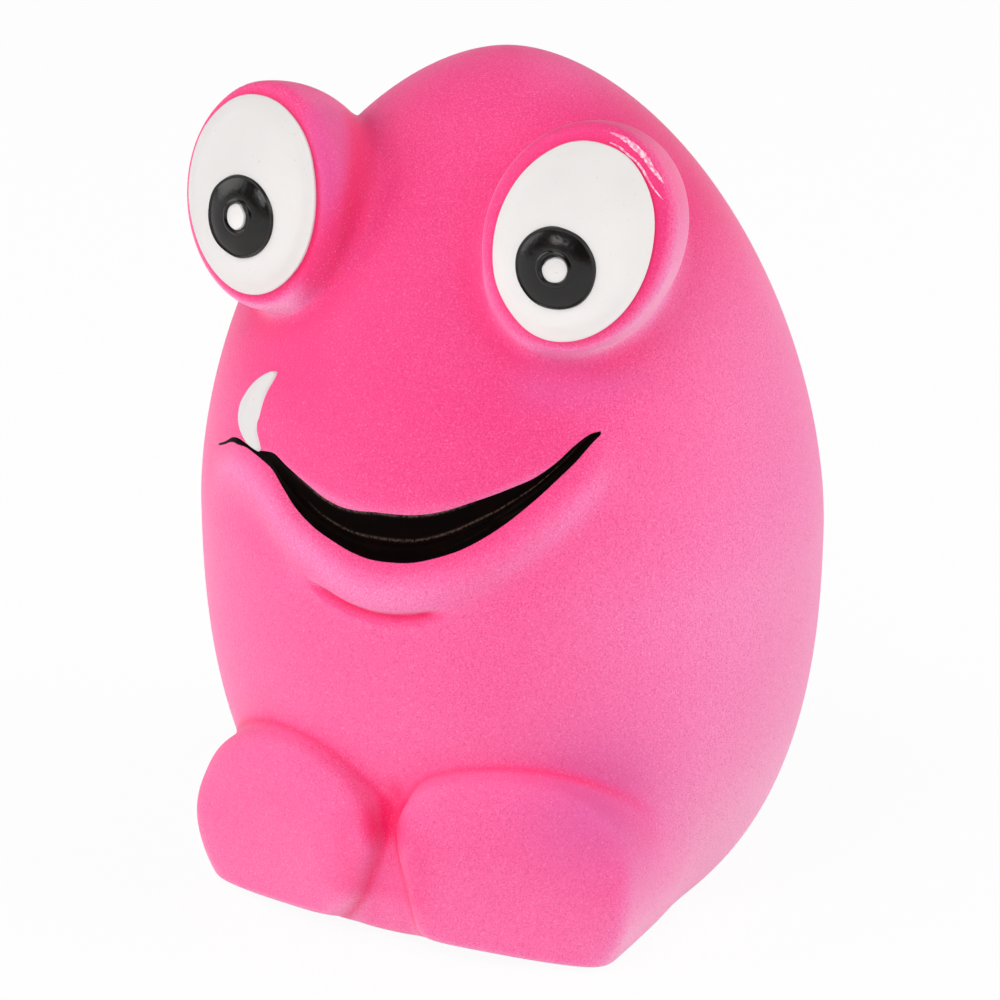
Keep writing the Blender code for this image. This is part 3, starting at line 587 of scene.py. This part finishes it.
shoulder = np.exp(-((points - SHOULDER_PLACE) ** 2).sum(axis=1) / SHOULDER_SIZE ** 2)
dull = POD_SIDE_DULL * pod_side + UNDER_POD_DULL * under_pod + shoulder
map_onto(toy_skin, haze=haze, deep=deep, dull=dull)

PINK_UNDER_PAINTED_SHEEN = ((0.0, (0.89, 0.033, 0.210)), (0.2, (0.965, 0.109, 0.330)),
             (0.5, (0.965, 0.212, 0.480)), (1.0, (0.99, 0.385, 0.615)))
CREASE_SHADE_PINK = (0.93, 0.010, 0.150)
DIM_SHADE_PINK = (0.76, 0.105, 0.36)
PIT_PINK = (0.70, 0.05, 0.22)
SPARKLE = (0.98, 0.55, 0.72)
CLOUDED, SALTED, DIM_SHADE_WEIGHT, PITTED, PIT_SALT = 0.08, 0.38, 0.9, 0.42, (0.5, 0.3)
SPARKLE_SPECK, SPARKLE_LEAST, SPARKLE_HAZED = (0.60, 0.78), 0.1, 0.45
VINYL_ROUGH, GRAIN_ROUGH, SPECK_RELIEF = 0.42, 0.2, 0.5
vinyl = Finish("pink_vinyl", Sheen_Weight=0.15, Sheen_Roughness=0.5, Specular_IOR_Level=0.3)
cloud = vinyl.noise(scale=90, detail=3)
speck = vinyl.noise(scale=5200, detail=1)
grain = vinyl.noise(scale=2600, detail=3)
salt = vinyl.noise(scale=5200, detail=2)
# The painted sheen drives the ramp from hot pink to pale lilac, with random cloud and salt mottle on it.
painted_sheen_share = vinyl.mapped("haze")
painted_sheen_and_mottle = painted_sheen_share + CLOUDED * (cloud - 0.5) + SALTED * (salt - 0.5)
colour = vinyl.node("ShaderNodeValToRGB", {"stops": PINK_UNDER_PAINTED_SHEEN}, {"Fac": painted_sheen_and_mottle})
# Painted shade: a duller pink on the shaded shoulders and pod sides, a deeper pink in creases and valleys.
colour = vinyl.mixed(DIM_SHADE_WEIGHT * vinyl.mapped("dull"), colour, DIM_SHADE_PINK)
colour = vinyl.mixed(vinyl.mapped("deep"), colour, CREASE_SHADE_PINK)
colour = vinyl.mixed(salt.between(*PIT_SALT) * PITTED, colour, PIT_PINK)
sparkling = speck.between(*SPARKLE_SPECK) * (SPARKLE_LEAST + SPARKLE_HAZED * painted_sheen_share)
colour = vinyl.mixed(sparkling, colour, SPARKLE)
vinyl.give(**{"Base Color": colour, "Roughness": VINYL_ROUGH + GRAIN_ROUGH * grain})
vinyl.bumped(grain + SPECK_RELIEF * speck, strength=0.4, reach=0.0002)
vinyl.coats(toy_skin)
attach(toy_skin, "toy")
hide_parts("vinyl_body")

# Squeaker: a stock plug snapped into the base, made up of four small pieces: a cup with a flange,
# two half-rounds pressed into its bore, and a springy film reed clamped between them.
# The CAD shapes are right, so they stay and only get their moulded finish.
MOULDED_PALE, MOULDED_DARK = (0.80, 0.79, 0.74), (0.72, 0.70, 0.64)
AMBER_DARK, AMBER_PALE = (0.62, 0.50, 0.26), (0.78, 0.68, 0.42)
MOULDED_ROUGH, PITS_ROUGH, SWIRL_SPAN = 0.38, 0.2, (0.35, 0.7)
FILM_ROUGH, STREAK_ROUGH, STREAK_STRETCH = 0.2, 0.15, (6, 1, 1)
moulded = Finish("squeaker_plastic", Subsurface_Weight=0.1, Subsurface_Scale=0.001)
swirl = moulded.noise(scale=400, detail=3)
pits = moulded.noise(scale=6000, detail=2)
moulded.give(**{"Base Color": moulded.mixed(swirl.between(*SWIRL_SPAN), MOULDED_PALE, MOULDED_DARK),
                "Roughness": MOULDED_ROUGH + PITS_ROUGH * pits})
moulded.bumped(pits, strength=0.15, reach=0.0001)
for name in ("squeaker_cup", "reed_carrier", "reed_clip"):
    moulded.coats(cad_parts[name])
film = Finish("reed_film", Specular_IOR_Level=0.5)
streak = film.noise(scale=900, detail=2, stretch=STREAK_STRETCH)
film.give(**{"Base Color": film.mixed(streak, AMBER_DARK, AMBER_PALE),
             "Roughness": FILM_ROUGH + STREAK_ROUGH * streak})
film.bumped(streak, strength=0.1, reach=0.00005)
film.coats(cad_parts["reed"])

# Eye whites: a coat of white paint sprayed through a mask onto the face of each pod, about 0.2 mm thick.
# It fills the groove inside the rim, its edge wobbles a little, as a hand-held mask leaves it, and the
# left one is the paler of the two. A lift is how far a coat stands off the skin, in millimetres.
WHITE_LIFT = ((0.0, 0.16), (0.85, 0.17), (0.9, 0.22), (0.95, 0.36), (0.985, 0.42), (1.0, 0.34),
              (1.006, -0.25))
WHITE_PALE = {"left": 0.55, "right": 0.25}
WHITE_SHADED, WHITE_LIT, WHITE_FLECK = (0.70, 0.675, 0.665), (0.865, 0.84, 0.825), (0.45, 0.38, 0.38)
WHITE_RAGGED, WHITE_SEED, WHITE_STEPS = 0.012, 11, 144
EVEN_TONE, PAINTED_LIGHT_SLOPE, SPRAY_TONE, FLECK_SPAN, FLECKED = 0.5, 0.35, 0.25, (0.70, 0.8), 0.5
WHITE_ROUGH, FLECK_ROUGH, FLECK_RELIEF = 0.40, 0.25, 0.2
FILM_UNDER, COAT_SHARP = -0.3, math.radians(60)
DOT_HEART, DOT_ROWS, DOT_STEPS = 0.03, 22, 96
POD_SEEK_ROUNDS, POD_SEEK_STEP = 10, 0.9
WAVES = np.arange(2, 11)


def wobble(angle, size, seed):
    draw = np.random.default_rng(seed)
    sines, cosines = draw.uniform(-1, 1, (2, len(WAVES))) / WAVES
    waves = zip(WAVES, sines, cosines)
    return size * sum(s * np.sin(k * angle) + c * np.cos(k * angle) for k, s, c in waves)


def coat(name, sheet, lift, ring):
    """A film of paint over a sheet of points: rows that close into rings, or an open patch."""
    rows, columns = lift.shape
    start = sheet.reshape(-1, 3)
    top = laid_on_skin(start, lift.ravel())
    under = laid_on_skin(start, FILM_UNDER)
    below = rows * columns
    number = np.arange(below).reshape(rows, columns)
    if ring:
        number = np.column_stack((number, number[:, :1]))
        rim = number[-1]
        heart = number[0, :-1]
        faces = [tuple(heart), tuple(heart + below)]
    else:
        rim = np.concatenate((number[0], number[1:, -1], number[-1, -2::-1], number[-2::-1, 0]))
        faces = []
    corners = (number[:-1, :-1], number[:-1, 1:], number[1:, 1:], number[1:, :-1])
    quads = np.stack(corners, axis=2).reshape(-1, 4)
    faces += [tuple(q) for q in quads] + [tuple(q[::-1] + below) for q in quads]
    faces += [(a, b, b + below, a + below) for a, b in zip(rim, rim[1:])]
    work = bmesh.new()
    made = [work.verts.new(p) for p in np.vstack((top, under)) * MM]
    for face in faces:
        work.faces.new([made[i] for i in face])
    bmesh.ops.recalc_face_normals(work, faces=work.faces)
    piece = solid(name, work)
    piece.data.shade_smooth()
    piece.data.set_sharp_from_angle(angle=COAT_SHARP)
    return piece


def lifted(profile, share):
    return np.interp(share, [p[0] for p in profile], [p[1] for p in profile])


def on_pod(side, u, v):
    middle, axes = pod_frame(side)
    flat = np.column_stack((u.ravel(), v.ravel(), np.full(u.size, POD_FRONT)))
    for _ in range(POD_SEEK_ROUNDS):
        flat[:, 2] -= POD_SEEK_STEP * skin(middle + flat @ axes)
    return (middle + flat @ axes).reshape(*u.shape, 3)


def dot(name, side, place, half_width, half_height, profile, ragged, seed, steps=DOT_STEPS, pale=EVEN_TONE):
    shares = np.array([p[0] for p in profile])
    fine = np.unique(np.concatenate((np.linspace(DOT_HEART, shares[-1], DOT_ROWS), shares[1:])))[:, None]
    angle = np.linspace(0, math.tau, steps, endpoint=False)
    reach = fine * (1 + wobble(angle, ragged, seed))
    u = place[0] + half_width * reach * np.cos(angle)
    v = place[1] + half_height * reach * np.sin(angle)
    piece = coat(name, on_pod(side, u, v), lifted(profile, fine) + np.zeros_like(u), True)
    # Painted light: the tone rises toward the lower right of each dot and falls toward its upper left.
    tone = pale + PAINTED_LIGHT_SLOPE * fine * (np.cos(angle) - np.sin(angle))
    map_onto(piece, lower_right=np.tile(tone.ravel(), 2))
    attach(piece, "toy")
    return piece


white = Finish("white_paint", Specular_IOR_Level=0.4)
spray = white.noise(scale=220, detail=3)
fleck = white.noise(scale=2400, detail=2)
# The white is mixed from a shaded and a lit white by that painted light tone and the spray mottle.
tone = white.mixed(white.mapped("lower_right") + SPRAY_TONE * (spray - 0.5), WHITE_SHADED, WHITE_LIT)
tone = white.mixed(fleck.between(*FLECK_SPAN) * FLECKED, tone, WHITE_FLECK)
white.give(**{"Base Color": tone, "Roughness": WHITE_ROUGH + FLECK_ROUGH * fleck})
white.bumped(spray + FLECK_RELIEF * fleck, strength=0.12, reach=0.0004)
for number, side in enumerate(SIDES):
    eye = dot("eye_white_" + side + "_coat", side, WHITE_PLACE[side], WHITE_HALF_WIDTH, WHITE_HALF_HEIGHT,
              WHITE_LIFT, WHITE_RAGGED, WHITE_SEED + number, WHITE_STEPS, WHITE_PALE[side])
    white.coats(eye)
    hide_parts("eye_white_" + side)

# Pupils: a thick drop of glossy black enamel on each white, which dries with a lip round its edge.
# The collar round its middle is where the wet paint drew back from the light dot.
PUPIL_HALF = {"left": (4.77, 4.65), "right": (4.57, 4.84)}
PUPIL_PLACE = {"left": (-0.27, -3.37), "right": (-1.16, -2.16)}
PUPIL_LIFT = ((0.0, 0.30), (0.30, 0.30), (0.33, 0.62), (0.355, 0.80), (0.38, 0.84), (0.41, 0.76),
              (0.44, 0.67), (0.49, 0.69), (0.57, 0.67), (0.64, 0.63), (0.71, 0.57), (0.78, 0.495),
              (0.84, 0.415), (0.88, 0.35), (0.91, 0.31), (0.94, 0.41), (0.96, 0.42), (0.985, 0.24),
              (1.0, -0.12))
PUPIL_RAGGED, PUPIL_SEED = 0.02, 23
BLACK, PUPIL_BROWN, HIGHLIGHT_BROWN = (0.0025, 0.0012, 0.001), (0.010, 0.006, 0.004), (0.12, 0.075, 0.06)
PUPIL_GLOSS, RIPPLE_SPAN, DUST_SPAN = 0.45, (0.45, 0.85), (0.3, 0.6)
ENAMEL_ROUGH, DUST_ROUGH, DUST_RELIEF = 0.16, 0.12, 0.1


def black_enamel(name, gloss, brown, dried=False):
    enamel = Finish(name, Specular_IOR_Level=gloss)
    ripple = enamel.noise(scale=500, detail=3)
    dust = enamel.noise(scale=3000, detail=2)
    colour = enamel.mixed(ripple.between(*RIPPLE_SPAN), BLACK, brown)
    if dried:
        # Painted highlight: lighter brown where the mapped lines run, broken up by the dust noise.
        colour = enamel.mixed(enamel.mapped("dried") * dust.between(*DUST_SPAN), colour, HIGHLIGHT_BROWN)
    enamel.give(**{"Base Color": colour, "Roughness": ENAMEL_ROUGH + DUST_ROUGH * dust})
    enamel.bumped(ripple + DUST_RELIEF * dust, strength=0.15, reach=0.0005)
    return enamel


enamel = black_enamel("black_enamel", PUPIL_GLOSS, PUPIL_BROWN)
for number, side in enumerate(SIDES):
    pupil = dot("pupil_" + side + "_drop", side, PUPIL_PLACE[side], *PUPIL_HALF[side], PUPIL_LIFT,
                PUPIL_RAGGED, PUPIL_SEED + number)
    enamel.coats(pupil)
    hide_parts("pupil_" + side)

# Glints: a small dab of the off-white paint in the middle of each pupil, put on by hand and a little
# off its centre. It lies below the black collar round it.
GLINT_HALF = {"left": (1.66, 1.57), "right": (1.62, 1.70)}
GLINT_PLACE = {"left": (0.05, -3.56), "right": (-1.83, -2.14)}
GLINT_LIFT = ((0.0, 0.56), (0.6, 0.55), (0.9, 0.50), (1.0, 0.3))
GLINT_RAGGED, GLINT_SEED, GLINT_STEPS = 0.06, 31, 48
for number, side in enumerate(SIDES):
    glint = dot("glint_" + side + "_dab", side, GLINT_PLACE[side], *GLINT_HALF[side], GLINT_LIFT,
                GLINT_RAGGED, GLINT_SEED + number, GLINT_STEPS)
    white.coats(glint)
    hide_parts("glint_" + side)

# Brush marks: two dry strokes of the white that strayed onto the rim of the left pod, above its white.
# The bristles were nearly empty, so the paint is thin, streaky and lets the pink through.
# A stroke's points are a place on the pod's face and the stroke's width there.
BRUSH_MARKS = {
    "broad": ((-1.17, 12.33, 0.15), (0.28, 12.42, 0.45), (1.62, 12.22, 0.65), (2.82, 11.89, 0.7),
              (3.81, 11.47, 0.65), (4.85, 10.83, 0.55), (5.77, 10.36, 0.4), (6.68, 9.82, 0.12)),
    "narrow": ((-0.67, 11.41, 0.1), (0.58, 11.40, 0.25), (1.71, 11.10, 0.3), (3.03, 10.77, 0.3),
               (4.00, 10.28, 0.35), (5.08, 9.52, 0.3), (5.93, 8.98, 0.25), (7.51, 8.22, 0.08)),
}
BRUSH_LIFT = ((0.0, -0.08), (0.2, 0.06), (0.8, 0.06), (1.0, -0.08))
BRUSH_ROWS, BRUSH_STEPS, BRUSH_RAGGED, BRUSH_WAVE, BRUSH_SEED = 9, 60, 0.25, 3, 51
PINK_THROUGH, BRUSHED_WHITE, BRISTLE_SPAN = (0.95, 0.22, 0.42), (0.90, 0.70, 0.76), (0.42, 0.62)
BRUSHED_ROUGH, BRISTLE_ROUGH = 0.45, 0.2
dry = Finish("white_dry_brushed", Specular_IOR_Level=0.4)
bristle = dry.noise(scale=2600, detail=3)
dry.give(**{"Base Color": dry.mixed(bristle.between(*BRISTLE_SPAN), PINK_THROUGH, BRUSHED_WHITE),
            "Roughness": BRUSHED_ROUGH + BRISTLE_ROUGH * bristle})
dry.bumped(bristle, strength=0.2, reach=0.0002)
for name, keys in BRUSH_MARKS.items():
    step = np.linspace(0, len(keys) - 1, BRUSH_STEPS)
    numbered = [(i, *key) for i, key in enumerate(keys)]
    u, v, width = (through(numbered, k, step) for k in (1, 2, 3))
    along = np.stack((np.gradient(u), np.gradient(v)))
    along /= np.linalg.norm(along, axis=0)
    share = np.linspace(0, 1, BRUSH_ROWS)[:, None]
    off = (share - 0.5) * (width * (1 + wobble(BRUSH_WAVE * step, BRUSH_RAGGED, BRUSH_SEED)))
    lift = lifted(BRUSH_LIFT, share) + np.zeros_like(off)
    lift[:, 0] = lift[:, -1] = BRUSH_LIFT[0][1]
    mark = coat("brush_mark_" + name, on_pod("left", u - off * along[1], v + off * along[0]), lift, False)
    dry.coats(mark)
    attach(mark, "toy")

# Mouth: one brushed crescent of the same black enamel in the groove between the lips.
# It is thickest in a ridge along its lower third and runs out thin at both ends.
# A thin brown painted highlight runs along its middle and another along its upper edge.
MOUTH_LIFT = ((0.0, -0.12), (0.06, 0.16), (0.25, 0.34), (0.34, 0.42),
              (0.45, 0.26), (0.8, 0.22), (0.94, 0.16), (1.0, -0.12))
PAINT_KEYS = ((-45.7, 54.40, 54.15), (-42, 55.35, 55.00), (-39, 56.35, 55.70), (-36, 56.70, 55.95),
              (-33, 56.60, 56.15), (-30, 56.50, 55.95), (-27, 56.85, 55.60), (-24.5, 56.95, 55.10),
              (-21, 56.10, 53.60), (-17, 55.15, 51.60), (-13, 54.00, 50.25), (-8, 53.20, 49.15),
              (-4, 53.20, 48.35), (0, 53.50, 47.92), (4, 53.65, 48.00), (9, 54.05, 48.65),
              (14, 55.05, 49.85), (19, 56.35, 51.55), (24, 57.65, 53.80), (29, 59.05, 56.50),
              (33, 60.70, 58.60), (37, 62.70, 60.80), (40, 63.75, 62.60), (42.2, 64.00, 63.70))
MOUTH_COLUMNS, MOUTH_ROWS, MOUTH_THINNEST = 240, 40, 0.2
MOUTH_RAGGED, MOUTH_WAVE, UPPER_SEED, LOWER_SEED = 0.1, 5, 41, 42
FULL_LIFT_HEIGHT, LEAST_LIFT, PAINT_END = 3, 0.25, -0.12
RIDGE_TURN, RIDGE_TURN_HALF, RIDGE_TURN_FADE, EDGE_HIGHLIGHT_TURN, EDGE_HIGHLIGHT_FADE = 12, 18, 12, 14, 6
RIDGE_SHARE, RIDGE_HALF, RIDGE_BOW, RIDGE_MIDDLE, RIDGE_SPAN, RIDGE_HIGHLIGHT = 0.47, 0.022, 0.17, 3, 25, 0.6
EDGE_HIGHLIGHT_SHARE, EDGE_HIGHLIGHT_HALF = 0.97, 0.03
MOUTH_GLOSS, MOUTH_BROWN = 0.015, (0.005, 0.001, 0.0008)
turn = np.linspace(PAINT_KEYS[0][0], PAINT_KEYS[-1][0], MOUTH_COLUMNS)
waved = np.radians(MOUTH_WAVE * turn)
upper = through(PAINT_KEYS, 1, turn) + wobble(waved, MOUTH_RAGGED, UPPER_SEED)
lower = through(PAINT_KEYS, 2, turn) + wobble(waved, MOUTH_RAGGED, LOWER_SEED)
share = np.unique(np.concatenate((np.linspace(0, 1, MOUTH_ROWS), [p[0] for p in MOUTH_LIFT])))[:, None]
heights = lower + share * np.maximum(upper - lower, MOUTH_THINNEST)
turns = np.broadcast_to(turn, heights.shape)
lift = lifted(MOUTH_LIFT, share) * np.clip((upper - lower) / FULL_LIFT_HEIGHT, LEAST_LIFT, 1)
lift[:, 0] = lift[:, -1] = PAINT_END
# The painted highlight lines: one along the ridge near the middle, one along the upper edge.
ridge_share = RIDGE_SHARE + RIDGE_BOW * ((turns - RIDGE_MIDDLE) / RIDGE_SPAN) ** 2
ridge = bell(share, ridge_share, RIDGE_HALF) * fade(turns - RIDGE_TURN, RIDGE_TURN_HALF, RIDGE_TURN_FADE)
edge_highlight = bell(share, EDGE_HIGHLIGHT_SHARE, EDGE_HIGHLIGHT_HALF) * fade(turns, EDGE_HIGHLIGHT_TURN, EDGE_HIGHLIGHT_FADE)
mouth = coat("mouth_brushed", on_egg(turns.ravel(), heights.ravel()), lift, False)
map_onto(mouth, dried=np.tile((RIDGE_HIGHLIGHT * ridge + edge_highlight).ravel(), 2))
brushed = black_enamel("black_brushed", MOUTH_GLOSS, MOUTH_BROWN, True)
brushed.coats(mouth)
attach(mouth, "toy")
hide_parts("mouth_paint")

# Fang: a small crescent of the white paint, brushed on by hand above the right end of the grin.
# It is thickest down its middle. Its keys are a height, and its outer and inner turn round the egg.
FANG_KEYS = ((56.35, -29.6, -28.7), (56.8, -33.4, -28.4), (57.4, -36.2, -28.9), (58.2, -38.3, -30.2),
             (59.2, -39.3, -31.1), (60.3, -39.5, -30.8), (61.5, -38.6, -30.7), (62.6, -37.3, -30.4),
             (63.5, -35.9, -29.9), (64.4, -34.0, -29.2), (65.2, -31.8, -28.6), (65.8, -29.4, -28.5))
FANG_LIFT = ((0.0, -0.06), (0.12, 0.25), (0.5, 0.40), (0.88, 0.25), (1.0, -0.06))
FANG_ROWS, FANG_COLUMNS = 40, 15
rise = np.linspace(FANG_KEYS[0][0], FANG_KEYS[-1][0], FANG_ROWS)[:, None]
share = np.linspace(0, 1, FANG_COLUMNS)
outer = through(FANG_KEYS, 1, rise)
inner = through(FANG_KEYS, 2, rise)
turns = outer + (inner - outer) * share
heights = np.broadcast_to(rise, turns.shape)
lift = lifted(FANG_LIFT, share) * np.ones_like(turns)
lift[0] = lift[-1] = PAINT_END
fang = coat("fang_dab", on_egg(turns.ravel(), heights.ravel()), lift, False)
white.coats(fang)
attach(fang, "toy")
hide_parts("fang_paint")

# Studio: a white paper floor that runs off into a white room, with the camera standing where the
# photographer stood. Big soft lamps stand to the left, right, top and back, a small one in front
# draws the wet highlights, and a low card fills the shade under the chin without showing in the gloss.
FLOOR_HALF, FLOOR_BELOW, FLOOR_GLOW = 3.0, -0.0001, 0.94
PAPER_WHITE = (0.9, 0.9, 0.9, 1)
ROOM_LIGHT = (0.0, 0.8, 0.25, 0.4)
ROOM_SHOWN = (-0.03, 0.12, 0.9, 0.05)
LAMP_AIM = Vector((0, 0, 0.05))
LAMPS = {
    "left_lamp": ((-0.95, -0.55, 0.55), 0.9, 4.8),
    "right_lamp": ((1.0, 0.25, 0.58), 0.9, 6.2),
    "top_lamp": ((0.1, -0.7, 1.1), 0.7, 3.7),
    "back_lamp": ((0.2, 1.1, 0.3), 0.9, 1.6),
    "front_lamp": ((-0.17, -0.97, 0.45), 0.22, 0.75),
    "low_card": ((-0.15, -1.0, 0.14), 0.5, 2.4),
}
CAMERA_PLACE, CAMERA_AIM = (0.2033, -0.38170, 0.20403), Vector((-0.00024, -0.00060, 0.04522))
LENS, SENSOR = 138.86, 36.0
work = bmesh.new()
bmesh.ops.create_grid(work, x_segments=2, y_segments=2, size=FLOOR_HALF)
floor = solid("floor", work)
floor.location.z = FLOOR_BELOW
paper = Finish("white_paper", Roughness=0.9, Specular_IOR_Level=0.0, Base_Color=PAPER_WHITE)


def seen_white(nodes):
    rays = ("Is Camera Ray", "Is Glossy Ray", "Is Transmission Ray")
    seen, mirrored, through_glass = (nodes.node("ShaderNodeLightPath", out=ray) for ray in rays)
    return seen.either(mirrored).either(through_glass)


shade = paper.node("ShaderNodeMixShader", None, {
    0: FLOOR_GLOW * seen_white(paper), 1: Value(paper, paper.shader.outputs[0]),
    2: paper.node("ShaderNodeEmission", None, {"Strength": 1.0})})
paper.fill(paper.tree.nodes["Material Output"], {"Surface": shade})
paper.coats(floor)

world = bpy.data.worlds.new("white_room")
bpy.context.scene.world = world
world.use_nodes = True
room = Nodes(world.node_tree)
up = room.node("ShaderNodeSeparateXYZ", None, {0: room.node("ShaderNodeTexCoord", out="Generated")}, "Z")
lit = up.between(*ROOM_LIGHT)
room.fill(room.tree.nodes["Background"], {
    "Color": (1, 1, 1, 1), "Strength": lit + (up.between(*ROOM_SHOWN) - lit) * seen_white(room)})

for name, (place, size, watts) in LAMPS.items():
    light = bpy.data.lights.new(name, "AREA")
    light.shape = "DISK"
    light.size = size
    light.energy = watts
    lamp = bpy.data.objects.new(name, light)
    lamp.location = place
    lamp.rotation_euler = (LAMP_AIM - lamp.location).to_track_quat("-Z", "Y").to_euler()
    lamp.visible_glossy = name != "low_card"
    bpy.context.scene.collection.objects.link(lamp)

camera = bpy.data.objects.new("camera", bpy.data.cameras.new("camera"))
camera.data.lens = LENS
camera.data.sensor_width = SENSOR
camera.location = CAMERA_PLACE
camera.rotation_euler = (CAMERA_AIM - camera.location).to_track_quat("-Z", "Y").to_euler()
bpy.context.scene.collection.objects.link(camera)
bpy.context.scene.camera = camera
bpy.context.scene.view_settings.view_transform = "Standard"
